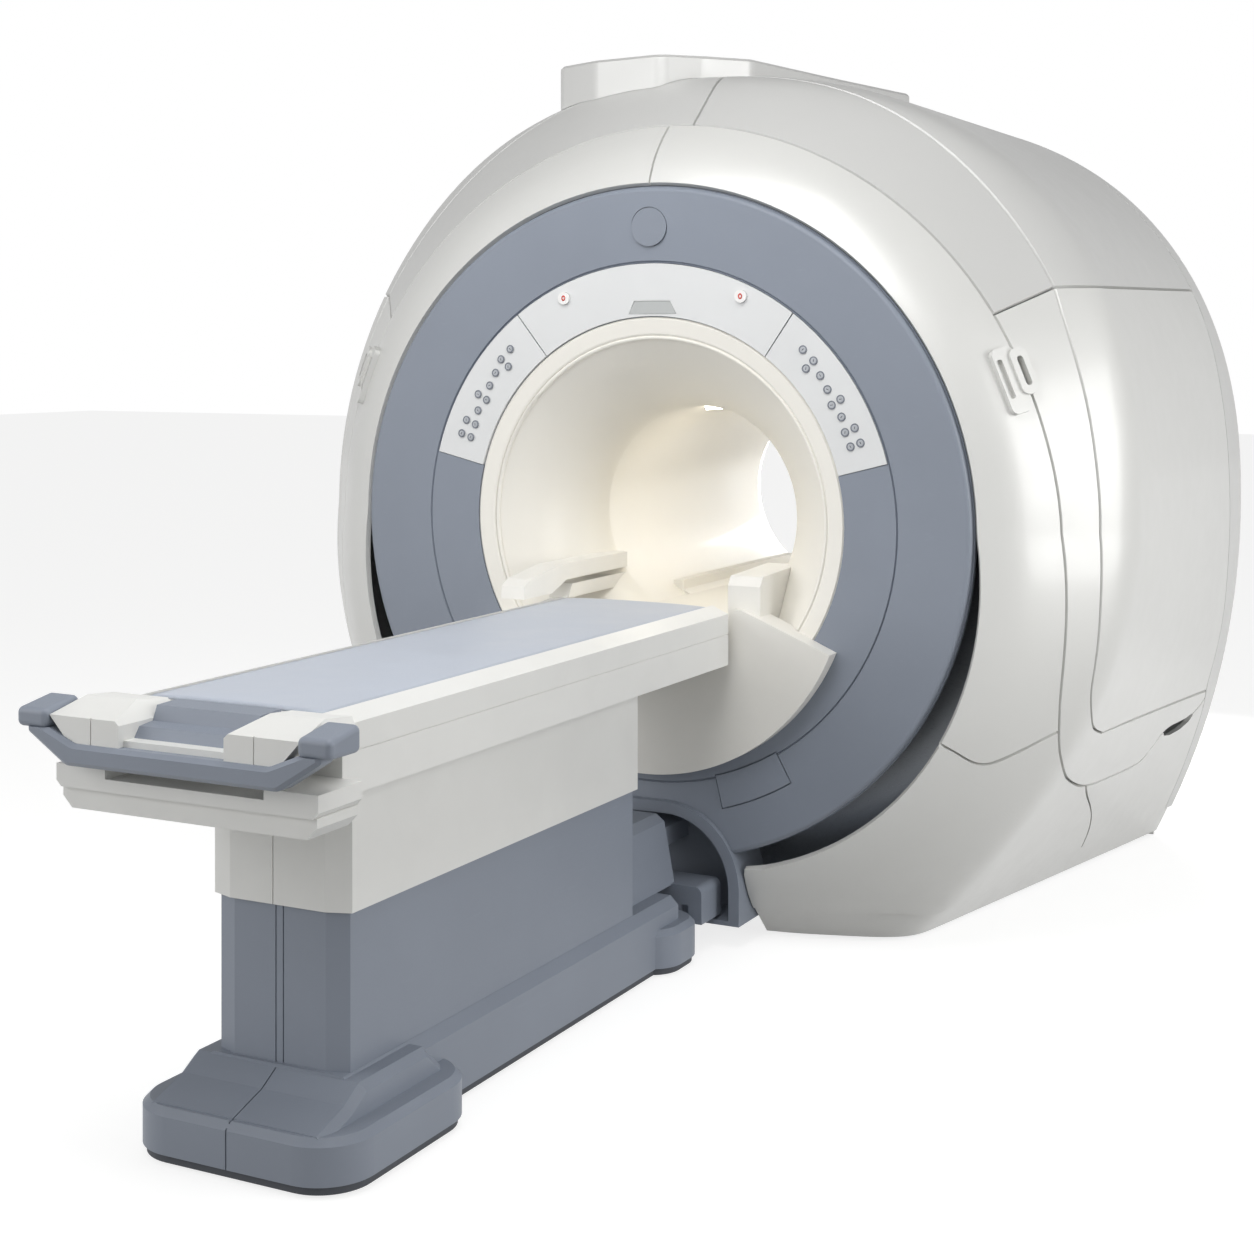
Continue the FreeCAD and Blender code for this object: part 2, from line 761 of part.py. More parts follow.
# bezel: from the middle of the top down to the V over the lower cover
v_mark = next(i for i, (d, h) in enumerate(frame_line) if h < v_side_height(d))
v_xs = [V_TIP_X * (0.75 + k / 500) for k in range(117)]
v_start = next(x for x in v_xs if math.hypot(x, v_front_height(x)) > RING_R)
v_xs = [v_start + (V_TIP_X - 16 - v_start) * k / 4 for k in range(5)]
v_line = [(depth_at(x, v_front_height(x)), math.atan2(v_front_height(x), x)) for x in v_xs]
v_line[0] = (0.0, v_line[0][1])
v_end = frame_line[v_mark]
v_rest = [V_TIP_DEPTH + (v_end[0] - V_TIP_DEPTH) * k / 5 for k in range(1, 5)]
v_line += on_skin([(d, v_side_height(d)) for d in v_rest] + [v_end])
v_line = smooth(v_line, 40)
cross_angle = angle_at(*frame_line[0])
bezel_far = [(BEZEL_DEPTH, TURN + (cross_angle - TURN) * k / 30) for k in range(30)]
bezel_far += on_skin(frame_line[: v_mark + 1])
bezel_near = [(0.0, TURN), (0.0, v_line[0][1])]
bezel_grid = strip(bezel_near, bezel_far, 70, 22)
bezel_grid = blend_ends(bezel_grid, last=v_line, reach=14)
nodes["bezel_right"] = cover(bezel_grid)
nodes["bezel_left"] = mirrored(nodes["bezel_right"])

# lower front cover: from the dock arch round the front corner to the notched seam
arch_x = DOCK_HALF_WIDTH + FIT
ring_low = math.acos(arch_x / RING_R)
near = [(0.0, -ring_low), (0.0, v_line[0][1]), *v_line[1:]]
floor_xs = (arch_x, 350, 430, 500, 560, 600, 630, 650)
far = [(depth_at(x, PLINTH_H), math.atan2(PLINTH_H, x)) for x in floor_xs]
floor_depths = [d for d in range(300, 1800, 60)]
far += on_skin([(d, PLINTH_H) for d in floor_depths if far[-1][0] + 25 < d < NOTCH_FOOT_DEPTH - 20])
far += on_skin([(NOTCH_FOOT_DEPTH, PLINTH_H)])
far_side = on_skin(frame_line[v_mark : notch_mark + 1] + notch_line[1:])
low_front = strip(near, far, 120, 70)
ring_h = -math.sqrt(RING_R**2 - arch_x**2)
arch_heights = [ring_h + (PLINTH_H - ring_h) * k / 6 for k in range(7)]
arch_line = [(depth_at(arch_x, h), math.atan2(h, arch_x)) for h in arch_heights]
arch_line[0] = (0.0, -ring_low)
low_front = blend_ends(low_front, first=arch_line, last=far_side, reach=110)
nodes["lower_front_cover_right"] = cover(low_front, edges=(SEAM / 2, SEAM_BACK))
nodes["lower_front_cover_left"] = mirrored(nodes["lower_front_cover_right"])


def band_depth(angle):
    """The depth of the seam between the upper band and the top shell."""
    depth = PANEL_DEPTH
    for _ in range(8):
        height = envelope_radius(depth, angle, 0) * math.sin(angle)
        depth = PANEL_DEPTH + BAND_LEAN * (height - PANEL_TOP)
    return depth


def band_grid(first_near, first_far, rows):
    """The upper band from a top angle at its front and back down to the cross seam."""
    end_far = angle_at(*band_foot)
    grid = []
    for i in range(rows):
        part = i / (rows - 1)
        a0 = first_near + (cross_angle - first_near) * part
        a1 = first_far + (end_far - first_far) * part
        d1 = band_depth(a1)
        steps = [t / 9 for t in range(10)]
        grid.append([(BEZEL_DEPTH + (d1 - BEZEL_DEPTH) * t, a0 + (a1 - a0) * t) for t in steps])
    return grid


# upper band, split to the right of the middle
split_near = math.acos(BAND_SPLIT_X / envelope_radius(BEZEL_DEPTH, TURN, 0))
split_far = math.acos(BAND_SPLIT_X / envelope_radius(band_depth(TURN), TURN, 0))
nodes["upper_band_right"] = cover(band_grid(split_near, split_far, 30))
nodes["upper_band_left"] = mirrored(cover(band_grid(math.pi - split_near, math.pi - split_far, 34)))

# top shell, from one side panel over the top to the other
top_near_end = angle_at(*band_foot)
top_far_end = angle_at(*panel_rear_top)


def roof_seam_depth(angle):
    """The depth of the seam between the top shell and the rear cover."""
    return panel_rear_top[0] + REAR_SEAM_BOW * (math.sin(angle) - math.sin(top_far_end))


shell_grid = []
for i in range(61):
    part = i / 60
    a0 = top_near_end + (math.pi - 2 * top_near_end) * part
    a1 = top_far_end + (math.pi - 2 * top_far_end) * part
    d0, d1 = band_depth(a0), roof_seam_depth(a1)
    shell_grid.append([(d0 + (d1 - d0) * t / 19, a0 + (a1 - a0) * t / 19) for t in range(20)])
shoulder = on_skin(shoulder_line)
shell_grid = blend_ends(shell_grid, first=shoulder, last=leftwards(shoulder), reach=12)
turret_gap = Part.makeCylinder(TURRET_R + TURRET_GAP, FAR, V(0, TURRET_Y, ISO_Z))
nodes["top_shell"] = cover(shell_grid).cut(turret_gap)

# side panel
rear_side = on_skin(rear_whole[side_mark:])[::-1]
panel_grid = strip(on_skin(panel_front), rear_side, 110, 24)
panel_grid = blend_ends(panel_grid, first=shoulder, last=on_skin(panel_low), reach=18)
nodes["side_panel_right"] = cover(panel_grid)
nodes["side_panel_left"] = mirrored(nodes["side_panel_right"])

# side frame: the strip in front of the side panel and under it
frame_inner = on_skin([*panel_front, *panel_low[1:]])
frame_grid = strip(on_skin(frame_line), frame_inner, 150, 8)
frame_grid = blend_ends(frame_grid, last=on_skin(rear_whole[low_mark : side_mark + 1]), reach=6)
nodes["side_frame_right"] = cover(frame_grid)
nodes["side_frame_left"] = mirrored(nodes["side_frame_right"])

# lower side cover, with a hand slot under the frame and another over its front foot
floor_run = REAR_SEAM_DEPTH + 180 - NOTCH_FOOT_DEPTH
side_floor = on_skin([(NOTCH_FOOT_DEPTH + floor_run * k / 12, PLINTH_H) for k in range(13)])
side_low = strip(on_skin(frame_line[notch_mark:]), side_floor, 80, 20)
side_low = blend_ends(
    side_low, first=on_skin(notch_line), last=on_skin(rear_whole[low_mark::-1]), reach=12
)
side_low = cover(side_low)


def lens_cut(points):
    """A slot through the right flank, outlined by (depth, height) points."""
    outline = [(FRONT_Y + d, ISO_Z + h) for d, h in points]
    return prism_x(outline, 300, FAR)


slot_h = FRAME_SKIRT_Z + 57
hand_slot = lens_cut(
    [
        (NOTCH_TOP_DEPTH + 600, slot_h - 9),
        (NOTCH_TOP_DEPTH + 620, slot_h - 21),
        (NOTCH_TOP_DEPTH + 690, slot_h - 31),
        (NOTCH_TOP_DEPTH + 790, slot_h - 29),
        (NOTCH_TOP_DEPTH + 860, slot_h - 18),
        (NOTCH_TOP_DEPTH + 885, slot_h - 4),
        (NOTCH_TOP_DEPTH + 885, slot_h + 12),
        (NOTCH_TOP_DEPTH + 600, slot_h + 12),
    ]
)
side_low = side_low.cut(hand_slot)
nodes["lower_side_cover_right"] = one_solid(side_low)
nodes["lower_side_cover_left"] = mirrored(nodes["lower_side_cover_right"])

# rear cover, from floor to floor over the top
right_line = on_skin(rear_whole)
roof_angles = [top_far_end + (TURN - top_far_end) * k / 30 for k in range(1, 31)]
half_line = right_line + [(roof_seam_depth(a), a) for a in roof_angles]
rear_near = half_line + leftwards(half_line[-2::-1])
rear_end = angle_at(GANTRY_LENGTH, PLINTH_H)
rear_far = [(GANTRY_LENGTH, rear_end), (GANTRY_LENGTH, math.pi - rear_end)]
nodes["rear_cover"] = cover(strip(rear_near, rear_far, 181, 16))
section = []
for k in range(49):
    angle = rear_end + (math.pi - 2 * rear_end) * k / 48
    radius = envelope_radius(GANTRY_LENGTH - COVER_WALL, angle, COVER_WALL) - 2 * FIT
    section.append(V(radius * math.cos(angle), REAR_Y - COVER_WALL, ISO_Z + radius * math.sin(angle)))
curve = Part.BSplineCurve()
curve.interpolate(section)
rim = Part.Wire([curve.toShape(), Part.LineSegment(section[-1], section[0]).toShape()])
rear_plate = Part.Face(rim).extrude(V(0, COVER_WALL, 0))
nodes["rear_plate"] = rear_plate.cut(
    rod_y(REAR_PANEL_R, V(0, REAR_Y - COVER_WALL - 1, ISO_Z), COVER_WALL + 2)
)


def dock_arch(grow, y0, y1):
    half, top = DOCK_HALF_WIDTH + grow, DOCK_TOP + grow
    bend, foot = DOCK_ROUND + grow, DOCK_LOW_Z - max(grow, 0)
    points = [V(-half, y0, foot), V(-half, y0, top), V(half, y0, top), V(half, y0, foot)]
    return rounded_prism(points, [0, bend, bend, 0], V(0, y1 - y0, 0))


# plinth: set back under the covers, down each side and across the back
plinth_depths = [d for d in range(300, 1740, 80) if d < GANTRY_LENGTH - 20]
plinth_rows = []
for height in (PLINTH_H, FLOOR_H):
    line = [(depth_at(x, height), math.atan2(height, x)) for x in floor_xs]
    line += on_skin([(d, height) for d in plinth_depths if d > line[-1][0] + 25])
    line += on_skin([(GANTRY_LENGTH, height)])
    plinth_rows.append(line)
plinth_grid = strip(*plinth_rows, 44, 5)
plinth_side = cover(plinth_grid, outer=SEAM_DEPTH)
plinth_side = plinth_side.cut(dock_arch(FIT, FRONT_Y - 100, FRONT_Y + DOCK_DEPTH + FIT))
plinth_side = plinth_side.cut(box(-FAR, FAR, -FAR, FAR, PLINTH_HEIGHT, 2 * PLINTH_HEIGHT))
rear_half_width = half_width(GANTRY_LENGTH - SEAM_DEPTH - COVER_WALL, PLINTH_H, SEAM_DEPTH + COVER_WALL)
plinth_rear = box(
    -rear_half_width + 25,
    rear_half_width - 25,
    REAR_Y - SEAM_DEPTH - COVER_WALL,
    REAR_Y - SEAM_DEPTH,
    0,
    PLINTH_HEIGHT,
)
nodes["plinth"] = Part.makeCompound([*plinth_side.Solids, *mirrored(plinth_side).Solids, plinth_rear])

# ---- magnet, coil, bore tube and funnels ----
vessel = rod_y(VESSEL_R, V(0, MID_Y - VESSEL_HALF_LENGTH, ISO_Z), 2 * VESSEL_HALF_LENGTH)
hollow_length = VESSEL_HALF_LENGTH - VESSEL_WALL
hollow = rod_y(VESSEL_R - VESSEL_WALL, V(0, MID_Y - hollow_length, ISO_Z), 2 * hollow_length)
hollow = hollow.cut(rod_y(VESSEL_BORE_R + VESSEL_WALL, V(0, -FAR, ISO_Z), 2 * FAR))
turret = Part.makeCylinder(TURRET_R, TURRET_TOP, V(0, TURRET_Y, ISO_Z))
turret_hole = Part.makeCylinder(TURRET_R - VESSEL_WALL, TURRET_TOP, V(0, TURRET_Y, ISO_Z))
bore_hole = rod_y(VESSEL_BORE_R, V(0, -FAR, ISO_Z), 2 * FAR)
vessel_neck = turret_hole.cut(rod_y((VESSEL_R + VESSEL_BORE_R) / 2, V(0, -FAR, ISO_Z), 2 * FAR))
vessel = vessel.fuse(turret).cut(bore_hole).cut(hollow).cut(vessel_neck)
neck_lid = Part.makeCylinder(TURRET_R, 14, V(0, TURRET_Y, ISO_Z + TURRET_TOP))
neck_head = Part.makeCylinder(70, 60, V(0, TURRET_Y, ISO_Z + TURRET_TOP + 14))
nodes["magnet_vessel"] = one_solid(vessel.multiFuse([neck_lid, neck_head]))
coil = rod_y(VESSEL_BORE_R - FIT, V(0, MID_Y - COIL_HALF_LENGTH, ISO_Z), 2 * COIL_HALF_LENGTH)
nodes["gradient_coil"] = coil.cut(rod_y(COIL_INNER_R, V(0, -FAR, ISO_Z), 2 * FAR))
feet = []
for side in (-1, 1):
    for end in (-1, 1):
        x, y = side * MAGNET_FOOT_X, MID_Y + end * MAGNET_FOOT_Y
        half = MAGNET_FOOT / 2
        feet.append(box(x - half, x + half, y - half, y + half, 0, ISO_Z - MAGNET_FOOT_X))
for end in (-1, 1):
    y, half = MID_Y + end * MAGNET_FOOT_Y, MAGNET_FOOT / 2
    feet.append(box(-MAGNET_FOOT_X, MAGNET_FOOT_X, y - half, y + half, 0, 60))
feet.append(
    box(-MAGNET_FOOT / 2, MAGNET_FOOT / 2, MID_Y - MAGNET_FOOT_Y, MID_Y + MAGNET_FOOT_Y, 0, 60)
)
vessel_round = rod_y(VESSEL_R, V(0, -FAR, ISO_Z), 2 * FAR)
nodes["magnet_feet"] = one_solid(feet[0].multiFuse(feet[1:]).cut(vessel_round))

LINER_R = BORE_R + LINER_WALL
TUBE_END = GANTRY_LENGTH / 2 - FUNNEL_DEPTH
liner_profile = [
    (BORE_R, -TUBE_END),
    (LINER_R, -TUBE_END),
    (LINER_R, -COIL_HALF_LENGTH + 70),
    (COIL_INNER_R - FIT, -COIL_HALF_LENGTH + 70),
    (COIL_INNER_R - FIT, -COIL_HALF_LENGTH + 95),
    (LINER_R, -COIL_HALF_LENGTH + 95),
    (LINER_R, COIL_HALF_LENGTH - 95),
    (COIL_INNER_R - FIT, COIL_HALF_LENGTH - 95),
    (COIL_INNER_R - FIT, COIL_HALF_LENGTH - 70),
    (LINER_R, COIL_HALF_LENGTH - 70),
    (LINER_R, TUBE_END),
    (BORE_R, TUBE_END),
]
nodes["bore_liner"] = ring_solid([(r, MID_Y + y) for r, y in liner_profile])


def trumpet(wall, mouth_r=FUNNEL_MOUTH_R):
    """Points (radius, depth) down the funnel, from its mouth to the bore tube."""
    points = []
    start = INNER_FACE_DISH + 10
    for k in range(13):
        part = k / 12
        radius = BORE_R + (mouth_r - BORE_R) * (1 - part) ** 1.7
        points.append((radius + wall, start + (FUNNEL_DEPTH - start) * part))
    return points


def funnel_turn(points, sign):
    return [V(r, MID_Y + sign * (GANTRY_LENGTH / 2 - d), ISO_Z) for r, d in points]


def spline_edge(points):
    curve = Part.BSplineCurve()
    curve.interpolate(points)
    return curve.toShape()


def lip_arc(sign, mouth_r, inset):
    """The rounded lip of a funnel, from its face to its mouth."""
    lip = (mouth_r + FUNNEL_WALL - 4, INNER_FACE_DISH - inset)
    middle = (mouth_r + 2 - inset, INNER_FACE_DISH + 2 - inset)
    mouth = (mouth_r - inset, INNER_FACE_DISH + 10)
    return Part.Arc(*funnel_turn([lip, middle, mouth], sign)).toShape()


def funnel_shape(sign, mouth_r):
    """The front (sign -1) or rear (sign 1) funnel, as a turned wall."""
    inner = funnel_turn(trumpet(0, mouth_r), sign)
    outer = funnel_turn(trumpet(FUNNEL_WALL, mouth_r), sign)
    lip_r = mouth_r + FUNNEL_WALL
    lip = funnel_turn([(lip_r - 4, INNER_FACE_DISH), (lip_r, INNER_FACE_DISH + 4)], sign)
    edges = [
        spline_edge(inner),
        Part.LineSegment(inner[-1], outer[-1]).toShape(),
        spline_edge(outer),
        Part.LineSegment(outer[0], lip[1]).toShape(),
        Part.LineSegment(lip[1], lip[0]).toShape(),
        lip_arc(sign, mouth_r, 0),
    ]
    face = Part.Face(Part.Wire(Part.__sortEdges__(edges)))
    return face.revolve(V(0, 0, ISO_Z), V(0, 1, 0), 360)


nodes["front_funnel"] = funnel_shape(-1, FUNNEL_MOUTH_R)
nodes["rear_funnel"] = funnel_shape(1, REAR_MOUTH_R)

# ---- front face ----
FUNNEL_LIP_R = FUNNEL_MOUTH_R + FUNNEL_WALL


def face_depth(radius):
    return FACE_DISH - FACE_SLOPE * (radius - PANEL_INNER_R)


def face_y(radius, back=0.0):
    return FRONT_Y + face_depth(radius) + back


inner_ring_profile = [
    (FUNNEL_LIP_R + FIT, FRONT_Y + INNER_FACE_DISH + 2),
    (FUNNEL_LIP_R + FIT, FRONT_Y + INNER_FACE_DISH + RING_THICK),
    (PANEL_INNER_R - FIT, FRONT_Y + INNER_FACE_DISH + RING_THICK),
    (PANEL_INNER_R - FIT, FRONT_Y + FACE_DISH + 6),
    (PANEL_INNER_R - 6, FRONT_Y + FACE_DISH + 1),
    (FUNNEL_LIP_R + 5, FRONT_Y + INNER_FACE_DISH - 1),
]
nodes["inner_front_ring"] = ring_solid(inner_ring_profile)
rear_lip_r = REAR_MOUTH_R + FUNNEL_WALL + FIT
rear_ring_profile = [
    (rear_lip_r, REAR_Y - INNER_FACE_DISH),
    (rear_lip_r, REAR_Y - INNER_FACE_DISH - RING_THICK + 9),
    (REAR_PANEL_R, REAR_Y - INNER_FACE_DISH - RING_THICK + 9),
    (REAR_PANEL_R, REAR_Y - COVER_WALL),
    (REAR_PANEL_R, REAR_Y - 2),
]
nodes["rear_plate"] = one_solid(nodes["rear_plate"].fuse(ring_solid(rear_ring_profile)))
edge_in = RING_R - RING_GROOVE - RING_EDGE_ROUND
lip_y = FRONT_Y + COVER_WALL + FIT


def arc_profile(centre_r, centre_y, radius, from_deg, to_deg, count):
    points = []
    for k in range(count + 1):
        angle = math.radians(from_deg + (to_deg - from_deg) * k / count)
        points.append((centre_r + radius * math.cos(angle), centre_y + radius * math.sin(angle)))
    return points


def groove_points(radius):
    """A small V groove in the ring's face."""
    half = SEAM / 2
    return [
        (radius - half, face_y(radius - half)),
        (radius, face_y(radius) + 5),
        (radius + half, face_y(radius + half)),
    ]


ring_back = FRONT_Y + INNER_FACE_DISH + RING_THICK
ring_profile = [
    (PANEL_INNER_R, ring_back),
    (PANEL_INNER_R, face_y(PANEL_INNER_R)),
    *groove_points(PANEL_OUTER_R),
    (edge_in, face_y(edge_in)),
    *arc_profile(edge_in, face_y(edge_in) + RING_EDGE_ROUND, RING_EDGE_ROUND, -75, 0, 5),
    (RING_R - RING_GROOVE, lip_y),
    (RING_R - FIT, lip_y),
    (RING_R - FIT, lip_y + 14),
    (PANEL_OUTER_R, ring_back),
]
ring = ring_solid(ring_profile)


ring = ring.cut(dock_arch(FIT, FRONT_Y - 100, FRONT_Y + DOCK_DEPTH + 100))


def slanted_sector(r0, r1, from_deg, to_deg, front, back):
    """A piece of the ring's face between two radii and two angles."""
    profile = [
        (r0, face_y(r0) + front),
        (r1, face_y(r1) + front),
        (r1, face_y(r1) + back),
        (r0, face_y(r0) + back),
    ]
    return ring_part(profile, from_deg, to_deg)


low_deg = SIDE_PANEL_LOW_ANGLE
split_deg = 90 - CENTRE_PANEL_HALF_ANGLE
gap_deg = math.degrees(PANEL_GAP / PANEL_OUTER_R)
pocket = slanted_sector(
    PANEL_INNER_R - 20, PANEL_OUTER_R - SEAM / 2, low_deg, 180 - low_deg, -60, PANEL_THICK - PANEL_PROUD
)
ring = ring.cut(pocket)
panel_r0, panel_r1 = PANEL_INNER_R + PANEL_GAP, PANEL_OUTER_R - SEAM / 2 - PANEL_GAP
centre_panel = slanted_sector(
    panel_r0, panel_r1, split_deg + gap_deg, 180 - split_deg - gap_deg, -PANEL_PROUD, PANEL_THICK - PANEL_PROUD
)
side_key_panel = slanted_sector(
    panel_r0, panel_r1, low_deg + gap_deg, split_deg - gap_deg, -PANEL_PROUD, PANEL_THICK - PANEL_PROUD
)

# stop buttons, keys and the display
stop_places = {
    "stop_button_right": on_ring(STOP_R, 90 - STOP_ANGLE, face_y(STOP_R)),
    "stop_button_left": on_ring(STOP_R, 90 + STOP_ANGLE, face_y(STOP_R)),
}
stop_depth = 26.0
for name, place in stop_places.items():
    start = V(place.x, place.y - 40, place.z)
    hole = rod_y(STOP_BUTTON_R + BUTTON_CLEARANCE, start, 200)
    centre_panel = centre_panel.cut(hole)
    ring = ring.cut(hole)
    front = V(place.x, place.y - STOP_PROUD - PANEL_PROUD, place.z)
    button = rod_y(STOP_BUTTON_R, front, stop_depth + STOP_PROUD + PANEL_PROUD)
    nodes[name] = button.makeChamfer(1.5, [button.Edges[0]])
display_outline = [
    (-DISPLAY_HALF_WIDTH, DISPLAY_Z + ISO_Z),
    (-DISPLAY_HALF_WIDTH + 18, DISPLAY_Z + ISO_Z + DISPLAY_HEIGHT),
    (DISPLAY_HALF_WIDTH - 18, DISPLAY_Z + ISO_Z + DISPLAY_HEIGHT),
    (DISPLAY_HALF_WIDTH, DISPLAY_Z + ISO_Z),
]
display_y = face_y(DISPLAY_Z + DISPLAY_HEIGHT / 2)
display_space = prism_y(display_outline, display_y - 60, display_y + 3)
centre_panel = centre_panel.cut(display_space)
ring = ring.cut(display_space)
nodes["display_window"] = prism_y(
    [(x * (1 - 1 / DISPLAY_HALF_WIDTH), z + (1 if z < ISO_Z + DISPLAY_Z + 1 else -1)) for x, z in display_outline],
    display_y - 1.5,
    display_y + 3,
)
nodes["centre_panel"] = centre_panel
nodes["key_panel_right"] = side_key_panel
nodes["key_panel_left"] = mirrored(side_key_panel)
keys = []
for k in range(KEY_ROWS):
    degrees = KEY_TOP_ANGLE - k * KEY_STEP
    offsets = (-KEY_PAIR_HALF, KEY_PAIR_HALF) if k in KEY_PAIR_ROWS else (KEY_SINGLE_OFFSET.get(k, 0.0),)
    for offset in offsets:
        radius = KEY_PITCH_R + offset
        place = on_ring(radius, degrees, face_y(radius) - PANEL_PROUD)
        lift = math.degrees(math.atan(FACE_SLOPE))
        key = Part.makeCylinder(KEY_R, KEY_PROUD, V(0, 0, 0), V(0, -1, 0))
        rock = math.radians(degrees)
        key.rotate(V(0, 0, 0), V(-math.sin(rock), 0, math.cos(rock)), -lift)
        key.translate(place)
        keys.append(key)
nodes["membrane_keys"] = Part.makeCompound(keys + [mirrored(k) for k in keys])

# round boss at the top of the ring, and the hatch at its lower right
boss_y = face_y(EMBLEM_Z)
boss = rod_y(EMBLEM_R, V(0, boss_y - 3, ISO_Z + EMBLEM_Z), 20)
ring = ring.cut(rod_y(EMBLEM_R + 1.5, V(0, boss_y - 30, ISO_Z + EMBLEM_Z), 37))
nodes["ring_boss"] = rod_y(EMBLEM_R, V(0, boss_y - 3, ISO_Z + EMBLEM_Z), 10)
hatch_span = math.degrees(HATCH_HALF_WIDTH / HATCH_HIGH_R)
hatch = slanted_sector(
    HATCH_HIGH_R + 12, HATCH_LOW_R, HATCH_ANGLE - hatch_span, HATCH_ANGLE + hatch_span, -3, 9
)
ring = ring.cut(
    slanted_sector(
        HATCH_HIGH_R + 9,
        HATCH_LOW_R + 3,
        HATCH_ANGLE - hatch_span - 0.25,
        HATCH_ANGLE + hatch_span + 0.25,
        -60,
        9,
    )
)
nodes["service_hatch"] = hatch
nodes["ring_fascia"] = one_solid(ring)

# ---- dock under the ring ----
dock = dock_arch(0, FRONT_Y - DOCK_FACE, FRONT_Y + DOCK_DEPTH)
dock_recess = dock_arch(-DOCK_RIM, FRONT_Y - DOCK_FACE - 1, FRONT_Y + DOCK_DEPTH - DOCK_RIM)
dock_recess = dock_recess.common(
    box(-FAR, FAR, -FAR, FAR, DOCK_LOW_Z + DOCK_FLOOR, 2 * FAR)
)
dock = dock.cut(dock_recess)
latch_hole = box(
    -TONGUE_HALF - TONGUE_GAP,
    TONGUE_HALF + TONGUE_GAP,
    FRONT_Y + DOCK_DEPTH - DOCK_RIM - 1,
    FRONT_Y + DOCK_DEPTH + 1,
    TONGUE_Z - TONGUE_GAP,
    TONGUE_Z + TONGUE_HEIGHT + TONGUE_GAP,
)
nodes["dock_housing"] = dock.cut(latch_hole)
for name in ("lower_front_cover_right", "lower_front_cover_left"):
    nodes[name] = one_solid(nodes[name].cut(dock_arch(FIT, FRONT_Y - 100, FRONT_Y + DOCK_DEPTH)))

# ---- apron, bridge and guards inside the bore ----
blank_gap = 2 * FIT
blank_inner = funnel_turn(trumpet(-blank_gap), -1)
blank_line = [
    V(FUNNEL_LIP_R - 4, FRONT_Y + INNER_FACE_DISH - blank_gap, ISO_Z),
    V(FUNNEL_LIP_R + 5, FRONT_Y + INNER_FACE_DISH - 1 - blank_gap, ISO_Z),
    V(PANEL_INNER_R - 6, FRONT_Y + FACE_DISH + 1 - blank_gap, ISO_Z),
    V(PANEL_INNER_R, face_y(PANEL_INNER_R) - blank_gap, ISO_Z),
    V(RING_R, face_y(RING_R) - blank_gap, ISO_Z),
    V(RING_R, at_depth(FUNNEL_DEPTH), ISO_Z),
    blank_inner[-1],
]
blank_edges = [spline_edge(blank_inner), lip_arc(-1, FUNNEL_MOUTH_R, blank_gap)]
blank_edges += [Part.LineSegment(p, q).toShape() for p, q in zip(blank_line, blank_line[1:])]
blank_face = Part.Face(Part.Wire(Part.__sortEdges__(blank_edges)))
front_blank = blank_face.revolve(V(0, 0, ISO_Z), V(0, 1, 0), 360)
deck_h = CRADLE_BOTTOM - CRADLE_GAP


def bore_point(x, height):
    return V(x, FRONT_Y - APRON_FACE, ISO_Z + height)


apron_points = [
    bore_point(-APRON_CORNER_X, APRON_CORNER_Z),
    bore_point(-APRON_INNER_X, APRON_INNER_Z),
    bore_point(-APRON_INNER_X + 22, APRON_INNER_Z),
    bore_point(-APRON_INNER_X + 44, deck_h - 6),
    bore_point(APRON_INNER_X - 44, deck_h - 6),
    bore_point(APRON_INNER_X - 22, APRON_INNER_Z),
    bore_point(APRON_INNER_X, APRON_INNER_Z),
    bore_point(APRON_CORNER_X, APRON_CORNER_Z),
]
apron_edges = [Part.LineSegment(p, q).toShape() for p, q in zip(apron_points, apron_points[1:])]
apron_edges.append(Part.Arc(apron_points[-1], bore_point(0, -APRON_R), apron_points[0]).toShape())
apron = Part.Face(Part.Wire(apron_edges)).extrude(V(0, APRON_FACE + APRON_DEPTH, 0))
nodes["bridge_apron"] = one_solid(apron.cut(front_blank))

bridge_round = rod_y(BORE_R - FIT, V(0, FRONT_Y + APRON_DEPTH, ISO_Z), FAR)
bridge = bridge_round.common(
    box(-BRIDGE_HALF, BRIDGE_HALF, FRONT_Y + APRON_DEPTH, BRIDGE_REAR_Y, 0, ISO_Z + deck_h)
)
rail_box = box(
    -BRIDGE_HALF, BRIDGE_HALF, BRIDGE_RAIL_Y, BRIDGE_REAR_Y, 0, ISO_Z + CRADLE_LEDGE - CRADLE_GAP
)
trough = box(-TROUGH_HALF, TROUGH_HALF, -FAR, FAR, ISO_Z + deck_h, 2 * ISO_Z)
trough = trough.common(rod_y(CRADLE_R + CRADLE_GAP, V(0, -FAR, ISO_Z), 2 * FAR))
nodes["patient_bridge"] = one_solid(bridge.fuse(bridge_round.common(rail_box).cut(trough)))


def guard(profile, x0, x1):
    """A rail beside the patient, from (y, height over axis) points, ending on the funnel."""
    return one_solid(prism_x([(y, ISO_Z + h) for y, h in profile], x0, x1).cut(front_blank))


guard_y = FRONT_Y
upper_guard = [
    (guard_y - 261, GUARD_H - 44),
    (guard_y - 255, GUARD_H - 12),
    (guard_y - 225, GUARD_H + 5),
    (guard_y - 60, GUARD_H + 28),
    (guard_y + 330, GUARD_H + 28),
    (guard_y + 330, GUARD_H - 15),
    (guard_y - 30, GUARD_H - 15),
    (guard_y - 110, GUARD_H - 44),
]
lower_guard = [
    (guard_y - 12, APRON_INNER_Z + FIT),
    (guard_y + 10, GUARD_H - 31),
    (guard_y + 330, GUARD_H - 31),
    (guard_y + 330, APRON_INNER_Z + FIT),
]
left_rails = [guard(upper_guard, -GUARD_X - 70, -GUARD_X)]
left_rails.append(guard(lower_guard, -GUARD_X - 64, -GUARD_X - 4))
nodes["left_guard"] = Part.makeCompound(left_rails)
